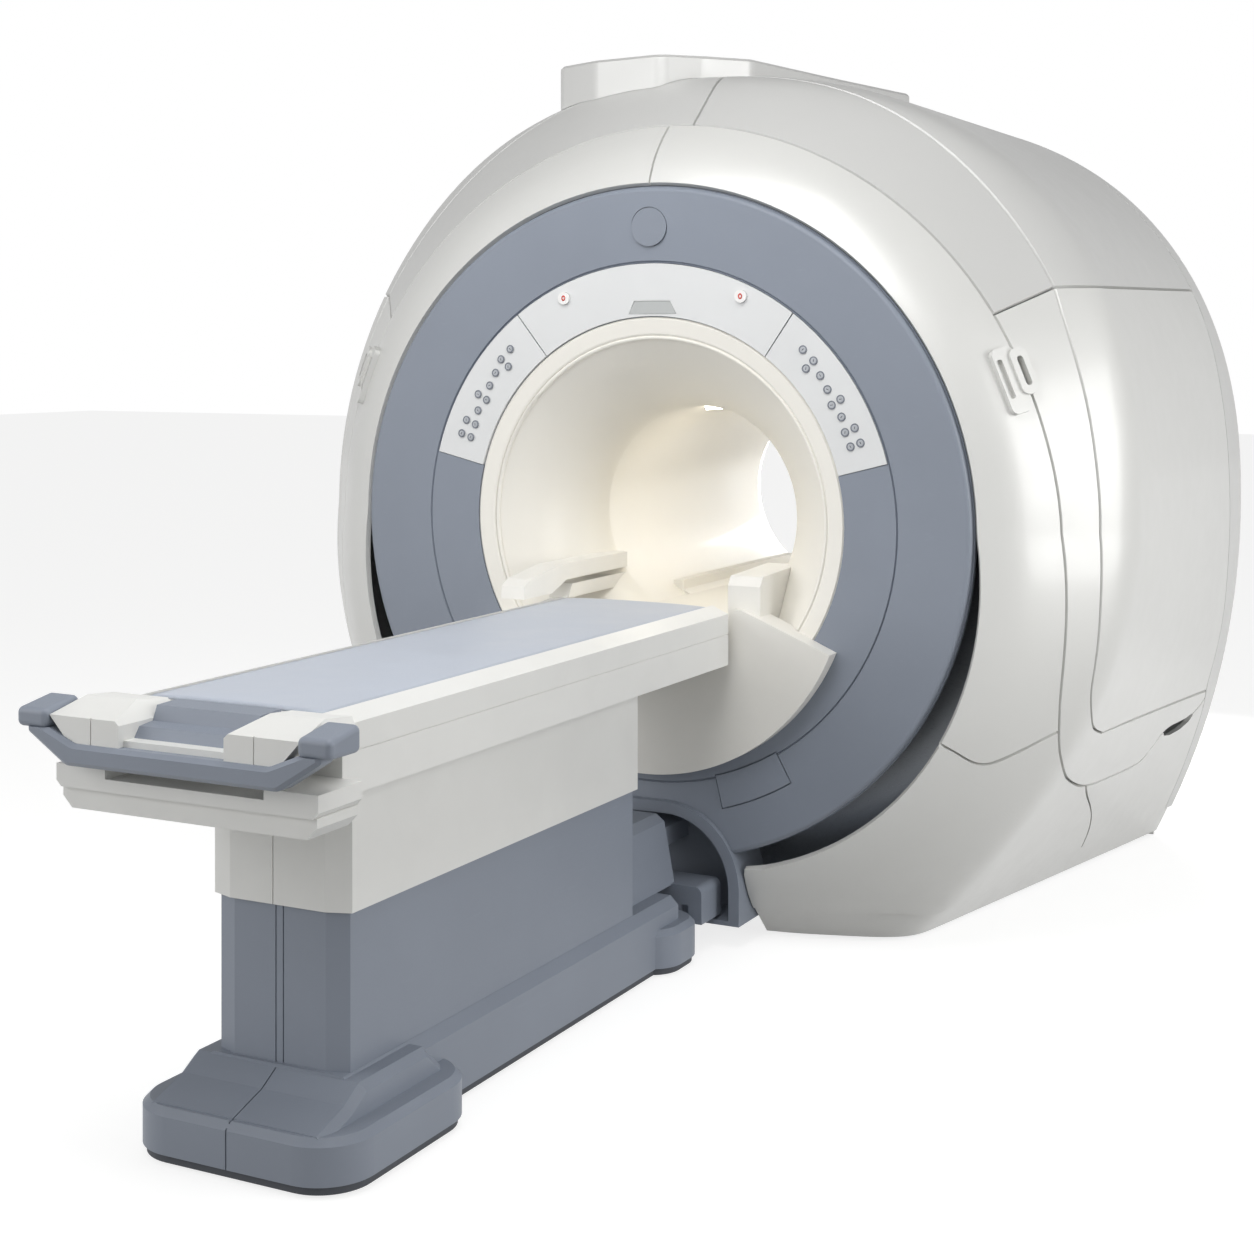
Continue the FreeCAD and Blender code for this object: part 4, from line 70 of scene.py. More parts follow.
# ---- keys: turned profiles in shares of a key's radius and height ----
KEY_RIM_PROFILE = (
    (0.70, 0.0),
    (1.0, 0.0),
    (1.0, 0.55),
    (0.93, 0.92),
    (0.84, 1.0),
    (0.74, 0.86),
    (0.70, 0.5),
    (0.70, 0.0),
)
KEY_CAP_PROFILE = ((0.0, 0.0), (0.69, 0.0), (0.69, 0.6), (0.60, 0.78), (0.35, 0.62), (0.0, 0.56))
KEY_RIM_SEGMENTS = 24
KEY_CAP_SEGMENTS = 20
KEY_MARK_WIDTH = 0.16  # of the key's radius, as the next two
KEY_MARK_LENGTH = 0.62
KEY_MARK_EDGE = 0.05
KEY_MARK_THICKNESS = 0.25  # of the key's height, as the next one
KEY_MARK_MIDDLE = 0.72
KEY_MARK_TURN = 0.7  # radians from one row's marks to the next row's
KEY_PAIR = (-0.015, 0.015)
# each row's angle above the horizontal, and how far its keys lie off the key circle
KEY_ROWS = (
    (46.4, (0.014,)),
    (42.7, KEY_PAIR),
    (39.0, (0.004,)),
    (35.3, (-0.002,)),
    (31.6, KEY_PAIR),
    (27.9, (-0.006,)),
    (24.2, KEY_PAIR),
    (20.5, KEY_PAIR),
)

# ---- the mark on a stop button, in shares of the button's radius ----
STOP_MARK_PROFILE = (
    (0.22, 0.0),
    (0.46, 0.0),
    (0.46, 0.05),
    (0.40, 0.09),
    (0.27, 0.09),
    (0.22, 0.05),
    (0.22, 0.0),
)
STOP_MARK_SEGMENTS = 28
STOP_MARK_SQUASH = 0.75  # its width, for a height of 1

# ---- mattress ----
PAD_CELLS = (26, 100)  # across and along
PAD_SIDE_ROOM = 0.003  # kept free inside the solid that the pad stands for
PAD_END_ROOM = 0.002
PAD_BED_ROOM = 0.0005
PAD_TOP_ROOM = 0.0035
PAD_CROWN = 0.0022  # rise of the top's middle line
PAD_SIDE_FALL = 0.0026  # drop of the top at its long edges
PAD_SIDE_ROUNDING = 6  # the higher this power is, the nearer the drop keeps to the edge
PAD_END_FALL = 0.0020  # drop of the top at its ends
PAD_END_START = 0.985  # where that drop begins, as a share of the half length

# ---- studio ----
CAMERA_PLACE = (2.418, -5.690, 1.591)
CAMERA_TURN = 27.28  # degrees to the left of straight along the bore
CAMERA_SENSOR = 36  # mm, as the lens
CAMERA_LENS = 57.65
CAMERA_SHIFT = (-0.0008, -0.2273)
FLOOR_REACH = 30  # from the middle to each side
FLOOR_CLOUD = 0.6  # clouds for each metre
SKY_SPAN = (0.05, 0.75)  # upward part of the direction, where the walls end and the ceiling begins
# each lamp's size, its place and the point that it faces
LAMPS = {
    "key_light": (3.6, (-3.4, -5.4, 2.6), (0.0, -0.9, 1.2)),
    "fill_light": (3.0, (5.6, -1.2, 2.1), (0.9, -0.1, 1.2)),
    "top_light": (1.8, (0.4, -2.6, 3.2), (0.0, -1.9, 0.8)),
    "bore_light": (1.4, (0.0, 3.0, 1.3), (0.0, 0.6, 1.0)),
}

# ---- finishes ----
NOISE_SPAN = (0.3, 0.7)  # where most of a noise's values lie
DUST_TOP = 0.42  # height at which the floor dust ends
DUST_AMOUNT = 0.32  # share of dust at the floor
WHITE = (1, 1, 1, 1)


def linear(colour):
    """An sRGB hex colour as the linear RGBA that the sockets take."""
    parts = [int(colour[i : i + 2], 16) / 255 for i in (1, 3, 5)]
    return [p / 12.92 if p <= 0.04045 else ((p + 0.055) / 1.055) ** 2.4 for p in parts] + [1.0]


def colour_property(name, description, colour):
    """A colour in a property group, given as sRGB hex."""
    return FloatVectorProperty(
        name=name, description=description, subtype="COLOR", size=4, min=0, max=1, default=linear(colour)
    )


def length_property(name, description, default):
    """A length in a property group, in metres."""
    return FloatProperty(
        name=name,
        description=description,
        default=default,
        min=0,
        subtype="DISTANCE",
        unit="LENGTH",
        precision=4,
    )


def power_property(name, description, default):
    """A lamp's power in a property group, in watts."""
    return FloatProperty(name=name, description=description, default=default, min=0, unit="POWER")


def strength_property(name, description, default):
    """A strength in a property group, with no unit."""
    return FloatProperty(name=name, description=description, default=default, min=0)


class ScannerColours(bpy.types.PropertyGroup):
    """Colours of the scanner's finishes."""

    pearl: colour_property("Pearl covers", "Lacquer of the gantry's covers", "#d9d9d6")
    # painted shade: a greyer copy of the pearl lacquer, so that the top and the back read darker as
    # shaded faces; the real covers are one white all over
    pearl_painted_shade: colour_property("Roof covers", "Greyer lacquer of the top and the back", "#cfcfcd")
    slate: colour_property("Slate", "Satin blue-grey of the ring, dock and base", "#858c98")
    panel: colour_property("Panels", "Light control panels in the ring", "#dedfdf")
    gelcoat: colour_property("Bore", "Warm white of the funnel and bore tube", "#efece4")
    guard: colour_property("Guards", "Warm white of the guards and the apron", "#ebe9e3")
    lamp_face: colour_property("Lamp face", "Opal acrylic of the bore's lamp", "#f7f3ea")
    lamp_glow: colour_property("Lamp glow", "Warm light of the bore's lamp", "#fff6e6")
    table: colour_property("Table", "White of the table's rails and tray", "#e2e2df")
    pad: colour_property("Mattress", "Blue-grey vinyl of the mattress", "#b4bbc7")
    key_rim: colour_property("Key rim", "Dark rim of a round key", "#7b8089")
    key_cap: colour_property("Key cap", "Dished cap of a round key", "#b6b9be")
    key_mark: colour_property("Key mark", "Dark bar on a round key", "#5a5e66")
    stop_cap: colour_property("Stop cap", "Pale cap of the stop buttons", "#e9e8e6")
    stop_mark: colour_property("Stop mark", "Red mark on the stop buttons", "#c8402f")
    glass: colour_property("Display", "Face of the small display", "#9a9d9c")
    # partly painted shade: the skirt is dark rubber, and its dark colour also stands for the shadow gap
    # under the base
    skirt_and_shadow: colour_property("Skirt", "Dark rubber round the base", "#4a4d53")
    tyre: colour_property("Tyres", "Grey rubber of the wheels", "#5b5e62")
    zinc: colour_property("Zinc", "Plating of the chassis and the caster forks", "#b9bcc0")
    vessel: colour_property("Vessel", "Steel of the magnet and its feet", "#9fa3a8")
    coil: colour_property("Coil", "Cast resin of the gradient coil", "#b98a5a")


class ScannerSizes(bpy.types.PropertyGroup):
    """Sizes of the scanner's small pieces."""

    key_radius: length_property("Key radius", "Outer radius of a round key", 0.0115)
    key_height: length_property("Key height", "How far a key stands out of its panel", 0.0035)
    key_circle: length_property("Key circle", "Radius of the arc that the keys follow", 0.623)
    stop_radius: length_property("Stop radius", "Radius of a stop button", 0.017)


class ScannerStudio(bpy.types.PropertyGroup):
    """The plain studio round the scanner."""

    floor: colour_property("Floor", "Plain pale floor", "#a2a2a1")
    key_light: power_property("Key light", "Power of the large soft light", 95)
    fill_light: power_property("Fill light", "Power of the light on the right", 130)
    top_light: power_property("Top light", "Power of the light overhead", 45)
    bore_light: power_property("Bore light", "Power of the light behind the bore", 60)
    bore_lamp: strength_property("Bore lamp", "Strength of the lamp inside the bore", 14)
    sky: strength_property("Sky", "Strength of the even light from the walls", 0.75)
    ceiling: strength_property("Ceiling", "Strength of the light from straight above", 0.22)
    floor_lift: strength_property("Floor lift", "How far the floor is lifted to white", 0.78)


# ---- shader helpers ----
def put(tree, kind, sockets=None, **settings):
    """Adds a node: its settings, then its sockets, each a value or an output to link."""
    node = tree.nodes.new(kind)
    for name, value in settings.items():
        setattr(node, name, value)
    for name, value in (sockets or {}).items():
        if isinstance(value, bpy.types.NodeSocket):
            tree.links.new(value, node.inputs[name])
        else:
            node.inputs[name].default_value = value
    return node


def finish(name):
    """A new material: itself, its tree, its surface shader and its Object coordinates."""
    material = bpy.data.materials.new(name)
    material.use_nodes = True
    tree = material.node_tree
    surface = tree.nodes["Principled BSDF"]
    place = put(tree, "ShaderNodeTexCoord").outputs["Object"]
    return material, tree, surface, place


def tint(colour, factor):
    """A colour made lighter or darker."""
    return [min(1.0, c * factor) for c in colour[:3]] + [1.0]


def per_metre(millimetres):
    """The texture scale at which one cell is this many millimetres across."""
    return 1000 / millimetres


def noise(tree, place, cell_mm, detail, **more):
    """Cloudy noise from 0 to 1, in cells of a given size."""
    sockets = {"Vector": place, "Scale": per_metre(cell_mm), "Detail": detail, **more}
    return put(tree, "ShaderNodeTexNoise", sockets).outputs["Fac"]


def cells(tree, place, cell_mm, feature):
    """How far a point is from the middle of its cell, in cells of a given size."""
    sockets = {"Vector": place, "Scale": per_metre(cell_mm)}
    return put(tree, "ShaderNodeTexVoronoi", sockets, feature=feature).outputs["Distance"]


def stretched(tree, place, scale):
    """Coordinates stretched by a factor on each axis."""
    return put(tree, "ShaderNodeMapping", {"Vector": place, "Scale": scale}).outputs[0]


def ranged(tree, value, source, target, **settings):
    """A value moved from one span to another."""
    sockets = {"Value": value, 1: source[0], 2: source[1], 3: target[0], 4: target[1]}
    return put(tree, "ShaderNodeMapRange", sockets, **settings).outputs[0]


def mix_colour(tree, factor, first, second):
    """One colour at factor 0, the other at 1."""
    # the mix node's colour sockets have the numbers 6 and 7, and its colour output 2
    mixed = put(tree, "ShaderNodeMix", {0: factor, 6: first, 7: second}, data_type="RGBA")
    return mixed.outputs[2]


def coloured(tree, surface, colour):
    """Gives the surface a colour that changes from place to place."""
    tree.links.new(colour, surface.inputs["Base Color"])


def roughened(tree, surface, value, smooth, rough):
    """Spreads the surface's roughness over a span by a noise."""
    tree.links.new(ranged(tree, value, NOISE_SPAN, (smooth, rough)), surface.inputs["Roughness"])


def bumped(tree, surface, height, strength, depth, invert=False):
    """Gives the surface a fine relief of a given depth."""
    sockets = {"Height": height, "Strength": strength, "Distance": depth}
    bump = put(tree, "ShaderNodeBump", sockets, invert=invert)
    tree.links.new(bump.outputs[0], surface.inputs["Normal"])


def seen_by(tree, *rays):
    """1 for two kinds of ray, and 0 for the rest."""
    path = put(tree, "ShaderNodeLightPath")
    sockets = {index: path.outputs[ray] for index, ray in enumerate(rays)}
    return put(tree, "ShaderNodeMath", sockets, operation="MAXIMUM").outputs[0]


def dress(material, *names):
    """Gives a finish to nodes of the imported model."""
    for name in names:
        piece = NODES[name]
        piece.data.materials.clear()
        piece.data.materials.append(material)


def both_sides(*names):
    """The names of pieces that the scanner has on the right and on the left."""
    return [f"{name}_{side}" for name in names for side in ("right", "left")]


# ---- finishes ----
def pearl_lacquer(name, colour):
    """Sprayed pearl lacquer on moulded glass fibre: a soft sheen under a clear coat,
    faint flake whose specks are painted lighter as painted glints, slight orange peel, and a breath of
    floor dust low down."""
    material, tree, surface, place = finish(name)
    drift = noise(tree, place, 350, 2.0)
    body = mix_colour(tree, drift, tint(colour, 0.965), tint(colour, 1.02))
    # real flake is 0.05 mm; it is drawn at 3 mm so that it shows, and its specks are painted lighter as
    # painted glints
    flake = cells(tree, place, 3.0, "F1")
    flake_painted_glint = ranged(tree, flake, (0.0, 0.35), (0.10, 0.0))
    body = mix_colour(tree, flake_painted_glint, body, tint(colour, 1.12))
    height = put(tree, "ShaderNodeSeparateXYZ", {"Vector": place}).outputs["Z"]
    low = ranged(tree, height, (0.0, DUST_TOP), (DUST_AMOUNT, 0.0), interpolation_type="SMOOTHSTEP")
    spots = noise(tree, place, 60, 5.0, Roughness=0.6)
    dust = put(tree, "ShaderNodeMath", {0: low, 1: spots}, operation="MULTIPLY").outputs[0]
    coloured(tree, surface, mix_colour(tree, dust, body, tint(colour, 0.78)))
    roughened(tree, surface, spots, smooth=0.34, rough=0.42)
    peel = noise(tree, place, 9, 1.0)
    bumped(tree, surface, peel, strength=0.06, depth=0.0006)
    surface.inputs["Metallic"].default_value = 0.12
    surface.inputs["Coat Weight"].default_value = 0.35
    surface.inputs["Coat Roughness"].default_value = 0.12
    return material


def satin_slate(name, colour):
    """Satin paint on spark-textured moulded ABS: an even fine grain that breaks up the
    light, with paler rubs here and there where hands and trolleys touch it."""
    material, tree, surface, place = finish(name)
    drift = noise(tree, place, 240, 3.0)
    body = mix_colour(tree, drift, tint(colour, 0.93), tint(colour, 1.05))
    rubs = noise(tree, stretched(tree, place, (1.0, 0.25, 3.0)), 45, 6.0, Roughness=0.7)
    rubbed = ranged(tree, rubs, (0.60, 0.78), (0.0, 0.16))
    coloured(tree, surface, mix_colour(tree, rubbed, body, tint(colour, 1.35)))
    # the mould's grain is 0.3 mm; it is drawn at 2 mm so that it shows
    grain = noise(tree, place, 2.0, 2.0)
    roughened(tree, surface, grain, smooth=0.42, rough=0.54)
    bumped(tree, surface, grain, strength=0.14, depth=0.0004)
    return material


def bore_gelcoat(name, colour):
    """Gelcoat on laid-up glass fibre: warm and soft, faintly cloudy, a little ripple."""
    material, tree, surface, place = finish(name)
    cloud = noise(tree, place, 180, 4.0, Roughness=0.45)
    coloured(tree, surface, mix_colour(tree, cloud, tint(colour, 0.97), tint(colour, 1.02)))
    ripple = noise(tree, place, 70, 1.0)
    bumped(tree, surface, ripple, strength=0.08, depth=0.002)
    roughened(tree, surface, cloud, smooth=0.36, rough=0.46)
    surface.inputs["Coat Weight"].default_value = 0.15
    return material


def moulded_abs(name, colour, grain_mm=2.5, roughness=0.42, depth=0.0003):
    """Injection-moulded ABS or polyurethane: even colour with faint flow marks and a
    fine mould grain."""
    material, tree, surface, place = finish(name)
    flow = noise(tree, place, 150, 3.0, Distortion=0.6)
    coloured(tree, surface, mix_colour(tree, flow, tint(colour, 0.96), tint(colour, 1.03)))
    grain = noise(tree, place, grain_mm, 2.0)
    roughened(tree, surface, grain, smooth=roughness - 0.05, rough=roughness + 0.05)
    bumped(tree, surface, grain, strength=0.12, depth=depth)
    return material


def pad_vinyl(name, colour):
    """Coated medical vinyl: a fine pebble grain, a soft sheen and slight wear marks."""
    material, tree, surface, place = finish(name)
    worn = noise(tree, place, 120, 4.0, Roughness=0.55)
    body = mix_colour(tree, worn, tint(colour, 0.94), tint(colour, 1.05))
    # vinyl pebbles are 1 mm; they are drawn at 2.5 mm so that they show
    pebble = cells(tree, place, 2.5, "SMOOTH_F1")
    # painted shade: the crevices between the pebbles are darkened
    crevice_painted_shade = ranged(tree, pebble, (0.35, 0.75), (0.0, 0.22))
    coloured(tree, surface, mix_colour(tree, crevice_painted_shade, body, tint(colour, 0.8)))
    bumped(tree, surface, pebble, strength=0.25, depth=0.0005, invert=True)
    roughened(tree, surface, worn, smooth=0.40, rough=0.55)
    surface.inputs["Sheen Weight"].default_value = 0.15
    return material


def skirt_rubber(name, colour):
    """Dark moulded rubber: matt, scuffed paler where wheels and feet brush it."""
    material, tree, surface, place = finish(name)
    scuff = noise(tree, place, 25, 6.0, Roughness=0.65)
    rubbed = ranged(tree, scuff, (0.5, 0.75), (0.0, 0.35))
    coloured(tree, surface, mix_colour(tree, rubbed, colour, tint(colour, 2.0)))
    roughened(tree, surface, scuff, smooth=0.62, rough=0.8)
    bumped(tree, surface, scuff, strength=0.2, depth=0.0004)
    return material


def brushed_steel(name, colour):
    """Zinc-plated or brushed steel: a metal with fine lines along X."""
    material, tree, surface, place = finish(name)
    brush = noise(tree, stretched(tree, place, (1.0, 30.0, 30.0)), 18, 4.0)
    coloured(tree, surface, mix_colour(tree, brush, tint(colour, 0.85), tint(colour, 1.1)))
    roughened(tree, surface, brush, smooth=0.25, rough=0.42)
    surface.inputs["Metallic"].default_value = 1.0
    return material


def lit_diffuser(name, face, glow, strength):
    """Opal acrylic lit from behind: brightest in the middle of each 30 mm spot."""
    material, tree, surface, place = finish(name)
    spots = cells(tree, place, 30, "SMOOTH_F1")
    light = ranged(tree, spots, (0.0, 0.8), (strength, strength * 0.7))
    tree.links.new(light, surface.inputs["Emission Strength"])
    surface.inputs["Emission Color"].default_value = glow
    surface.inputs["Base Color"].default_value = face
    surface.inputs["Roughness"].default_value = 0.5
    return material


def display_glass(name, colour, glow):
    """A small display under a clear window: faint rows of cells on a smooth face."""
    material, tree, surface, place = finish(name)
    rows = put(
        tree,
        "ShaderNodeTexWave",
        {"Vector": place, "Scale": per_metre(8)},
        wave_type="BANDS",
        bands_direction="X",
    )
    coloured(tree, surface, mix_colour(tree, rows.outputs["Fac"], tint(colour, 0.85), tint(colour, 1.1)))
    surface.inputs["Roughness"].default_value = 0.12
    surface.inputs["Coat Weight"].default_value = 0.6
    surface.inputs["Emission Color"].default_value = colour
    surface.inputs["Emission Strength"].default_value = glow
    return material


# ---- mesh helpers ----
def piece_from(bm, name, body, material):
    """A finished piece from a bmesh: normals outwards, on its body, with its finish."""
    bmesh.ops.remove_doubles(bm, verts=bm.verts, dist=1e-6)
    bmesh.ops.recalc_face_normals(bm, faces=bm.faces)
    mesh = bpy.data.meshes.new(name)
    bm.to_mesh(mesh)
    bm.free()
    for face in mesh.polygons:
        face.use_smooth = True
    mesh.materials.append(material)
    piece = bpy.data.objects.new(name, mesh)
    bpy.context.scene.collection.objects.link(piece)
    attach(piece, body)
    return piece


def lathe(profile, radius, height, segments):
    """A turned form as its own bmesh, from a profile in shares of a radius and a height."""
    bm = bmesh.new()
    points = [bm.verts.new((radius * out, 0.0, height * up)) for out, up in profile]
    edges = [bm.edges.new(pair) for pair in zip(points, points[1:])]
    bmesh.ops.spin(
        bm,
        geom=points + edges,
        axis=(0, 0, 1),
        cent=(0, 0, 0),
        angle=math.tau,
        steps=segments,
        use_merge=True,
    )
    bmesh.ops.remove_doubles(bm, verts=bm.verts, dist=1e-7)
    bmesh.ops.recalc_face_normals(bm, faces=bm.faces)
    return bm


def stamp(target, source, matrix):
    """Adds a copy of one bmesh to another, moved by a matrix."""
    mesh = bpy.data.meshes.new("stamp")
    source.to_mesh(mesh)
    mesh.transform(matrix)
    target.from_mesh(mesh)
    bpy.data.meshes.remove(mesh)


def face_y(radius):
    """Depth of the ring's leaning face at a radius."""
    return FRONT_Y + FACE_DISH - FACE_SLOPE * (radius - PANEL_INNER_R)


def on_face(radius, degrees, proud):
    """Where something sits on the ring's face: its own Z points out of the face."""
    angle = math.radians(degrees)
    tilt = math.atan(FACE_SLOPE)
    point = Vector((radius * math.cos(angle), face_y(radius) - proud, ISO_Z + radius * math.sin(angle)))
    turn = Matrix.Rotation(math.pi / 2 - angle, 4, "Y")
    lean = Matrix.Rotation(math.pi / 2, 4, "X") @ Matrix.Rotation(-tilt, 4, "X")
    return Matrix.Translation(point) @ turn @ lean


def key_bar(radius, height):
    """The small raised bar on a key of a given radius and height."""
    bm = bmesh.new()
    bmesh.ops.create_cube(bm, size=1.0)
    size = (radius * KEY_MARK_WIDTH, radius * KEY_MARK_LENGTH, height * KEY_MARK_THICKNESS)
    bmesh.ops.scale(bm, vec=size, verts=bm.verts)
    bmesh.ops.bevel(
        bm,
        geom=bm.edges[:],
        offset=radius * KEY_MARK_EDGE,
        segments=2,
        profile=0.5,
        affect="EDGES",
        material=-1,
    )
    bmesh.ops.translate(bm, vec=(0, 0, height * KEY_MARK_MIDDLE), verts=bm.verts)
    return bm


def pad_form(low, high):
    """The mattress between two corners: a flat slab with a crowned top and eased edges."""
    bm = bmesh.new()
    bmesh.ops.create_grid(bm, x_segments=PAD_CELLS[0], y_segments=PAD_CELLS[1], size=0.5)
    middle, size = (low + high) / 2, high - low
    footprint = (size.x - 2 * PAD_SIDE_ROOM, size.y - 2 * PAD_END_ROOM, 1)
    bmesh.ops.scale(bm, vec=footprint, verts=bm.verts)
    bmesh.ops.translate(bm, vec=(middle.x, middle.y, low.z + PAD_BED_ROOM), verts=bm.verts)
    top = bmesh.ops.extrude_face_region(bm, geom=bm.faces[:])
    raised = [v for v in top["geom"] if isinstance(v, bmesh.types.BMVert)]
    bmesh.ops.translate(bm, vec=(0, 0, size.z - PAD_TOP_ROOM), verts=raised)
    for v in raised:
        across = abs(v.co.x - middle.x) / (size.x / 2)
        along = abs(v.co.y - middle.y) / (size.y / 2)
        near_end = max(0.0, (along - PAD_END_START) / (1 - PAD_END_START))
        fall = PAD_SIDE_FALL * across**PAD_SIDE_ROUNDING + PAD_END_FALL * near_end**2
        v.co.z += PAD_CROWN * (1 - across**2) - fall
    return bm


# ---- studio ----
def add_camera(scene):
    """The camera at the photo's angle, level, with its frame shifted down."""
    camera = bpy.data.objects.new("camera", bpy.data.cameras.new("camera"))
    scene.collection.objects.link(camera)
    camera.location = CAMERA_PLACE
    camera.rotation_euler = (math.radians(90), 0, math.radians(CAMERA_TURN))
    camera.data.sensor_width = CAMERA_SENSOR
    camera.data.lens = CAMERA_LENS
    camera.data.shift_x, camera.data.shift_y = CAMERA_SHIFT
    scene.camera = camera


def floor_paint(studio):
    """Matt pale floor, which the camera and mirrors see lifted to white, with the shadow kept."""
    material, tree, surface, place = finish("floor_paint")
    sockets = {"Vector": place, "Scale": FLOOR_CLOUD, "Detail": 2.0}
    cloud = put(tree, "ShaderNodeTexNoise", sockets).outputs["Fac"]
    coloured(tree, surface, mix_colour(tree, cloud, tint(studio.floor, 0.99), studio.floor))
    surface.inputs["Roughness"].default_value = 0.8
    surface.inputs["Specular IOR Level"].default_value = 0.0
    seen = seen_by(tree, "Is Camera Ray", "Is Glossy Ray")
    lift = put(tree, "ShaderNodeMath", {0: seen, 1: studio.floor_lift}, operation="MULTIPLY")
    glow = put(tree, "ShaderNodeEmission", {"Color": WHITE, "Strength": lift.outputs[0]})
    both = put(tree, "ShaderNodeAddShader", {0: surface.outputs[0], 1: glow.outputs[0]})
    tree.links.new(both.outputs[0], tree.nodes["Material Output"].inputs["Surface"])
    return material


def add_floor(scene):
    """A large flat floor."""
    bm = bmesh.new()
    bmesh.ops.create_grid(bm, x_segments=2, y_segments=2, size=FLOOR_REACH)
    mesh = bpy.data.meshes.new("floor")
    bm.to_mesh(mesh)
    bm.free()
    floor = bpy.data.objects.new("floor", mesh)
    scene.collection.objects.link(floor)
    floor.data.materials.append(floor_paint(scene.scanner_studio))


def add_lamp(scene, name, power, size, place, aim):
    """A square soft light that faces a point."""
    lamp = bpy.data.objects.new(name, bpy.data.lights.new(name, "AREA"))
    lamp.data.energy = power
    lamp.data.size = size
    lamp.location = place
    lamp.rotation_euler = (Vector(aim) - Vector(place)).to_track_quat("-Z", "Y").to_euler()
    scene.collection.objects.link(lamp)


def add_world(scene):
    """Even light from all round, seen as white, with a ceiling darker than the walls so
    that upward faces stay grey."""
    studio = scene.scanner_studio
    world = bpy.data.worlds.new("studio")
    scene.world = world
    world.use_nodes = True
    tree = world.node_tree
    tree.nodes.clear()
    seen = seen_by(tree, "Is Camera Ray", "Is Transmission Ray")
    way = put(tree, "ShaderNodeTexCoord").outputs["Generated"]
    up = put(tree, "ShaderNodeSeparateXYZ", {"Vector": way}).outputs["Z"]
    level = ranged(tree, up, SKY_SPAN, (studio.sky, studio.ceiling))
    dim = put(tree, "ShaderNodeBackground", {"Color": WHITE, "Strength": level})
    white = put(tree, "ShaderNodeBackground", {"Color": WHITE, "Strength": 1.0})
    mixed = put(tree, "ShaderNodeMixShader", {0: seen, 1: dim.outputs[0], 2: white.outputs[0]})
    put(tree, "ShaderNodeOutputWorld", {"Surface": mixed.outputs[0]})


class SCANNER_OT_stage(bpy.types.Operator):
    """Makes the floor, the lights and the camera."""

    bl_idname = "scanner.stage"
    bl_label = "Studio"

    def execute(self, context):
        scene = context.scene
        add_camera(scene)
        add_floor(scene)
        for name, (size, place, aim) in LAMPS.items():
            add_lamp(scene, name, getattr(scene.scanner_studio, name), size, place, aim)
        add_world(scene)
        scene.view_settings.view_transform = "Standard"
        return {"FINISHED"}


# ---- pieces ----
class SCANNER_OT_covers(bpy.types.Operator):
    """Lacquers the covers of the gantry."""

    bl_idname = "scanner.covers"
    bl_label = "Gantry covers"

    def execute(self, context):
        colours = context.scene.scanner_colours
        pearl = pearl_lacquer("pearl_lacquer", colours.pearl)
        dress(pearl, *both_sides("bezel", "lower_front_cover", "side_panel", "side_frame"))
        dress(pearl, *both_sides("lower_side_cover"), "hand_grips", "plinth")
        # painted shade: the top shell, turret, back and upper bands take the greyer copy of the lacquer,
        # so that they read as shaded
        shade = pearl_lacquer("grey_pearl_lacquer", colours.pearl_painted_shade)
        dress(shade, "top_shell", "turret_cover", "rear_cover", "rear_plate", *both_sides("upper_band"))
        return {"FINISHED"}


class SCANNER_OT_magnet(bpy.types.Operator):
    """Finishes the magnet and the coil, which lie under the covers."""

    bl_idname = "scanner.magnet"
    bl_label = "Magnet and coil"

    def execute(self, context):
        colours = context.scene.scanner_colours
        dress(brushed_steel("painted_vessel_steel", colours.vessel), "magnet_vessel", "magnet_feet")
        resin = moulded_abs("coil_epoxy", colours.coil, grain_mm=12.0, roughness=0.5, depth=0.001)
        dress(resin, "gradient_coil")
        return {"FINISHED"}


class SCANNER_OT_ring(bpy.types.Operator):
    """Finishes the front ring, its panels, the hatch and the dock."""

    bl_idname = "scanner.ring"
    bl_label = "Front ring"

    def execute(self, context):
        colours = context.scene.scanner_colours
        dress(satin_slate("slate_satin", colours.slate), "ring_fascia", "service_hatch", "dock_housing")
        panel = moulded_abs("panel_abs", colours.panel, grain_mm=2.0, roughness=0.38)
        dress(panel, "centre_panel", *both_sides("key_panel"))
        dress(satin_slate("boss_satin", tint(colours.slate, 0.92)), "ring_boss")
        return {"FINISHED"}


class SCANNER_OT_keys(bpy.types.Operator):
    """Makes the round keys of both key panels."""

    bl_idname = "scanner.keys"
    bl_label = "Round keys"

    def execute(self, context):
        scene = context.scene
        sizes, colours = scene.scanner_sizes, scene.scanner_colours
        radius, height = sizes.key_radius, sizes.key_height
        rim = lathe(KEY_RIM_PROFILE, radius, height, KEY_RIM_SEGMENTS)
        cap = lathe(KEY_CAP_PROFILE, radius, height, KEY_CAP_SEGMENTS)
        bar = key_bar(radius, height)
        rims, caps, marks = bmesh.new(), bmesh.new(), bmesh.new()
        for row, (degrees, offsets) in enumerate(KEY_ROWS):
            for offset in offsets:
                place = on_face(sizes.key_circle + offset, degrees, PANEL_PROUD)
                for side in (Matrix.Identity(4), Matrix.Scale(-1, 4, (1, 0, 0))):
                    stamp(rims, rim, side @ place)
                    stamp(caps, cap, side @ place)
                    stamp(marks, bar, side @ place @ Matrix.Rotation(row * KEY_MARK_TURN, 4, "Z"))
        for bm in (rim, cap, bar):
            bm.free()
        rim_abs = moulded_abs("key_rim_abs", colours.key_rim, grain_mm=1.5, roughness=0.35)
        cap_silicone = moulded_abs("key_cap_silicone", colours.key_cap, grain_mm=1.5, roughness=0.5)
        mark_ink = moulded_abs("key_mark_ink", colours.key_mark, grain_mm=1.5, roughness=0.5)
        rim_piece = piece_from(rims, "key_rims", "gantry", rim_abs)
        piece_from(caps, "key_caps", "gantry", cap_silicone)
        piece_from(marks, "key_marks", "gantry", mark_ink)
        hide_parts("membrane_keys")
        return {"FINISHED"}


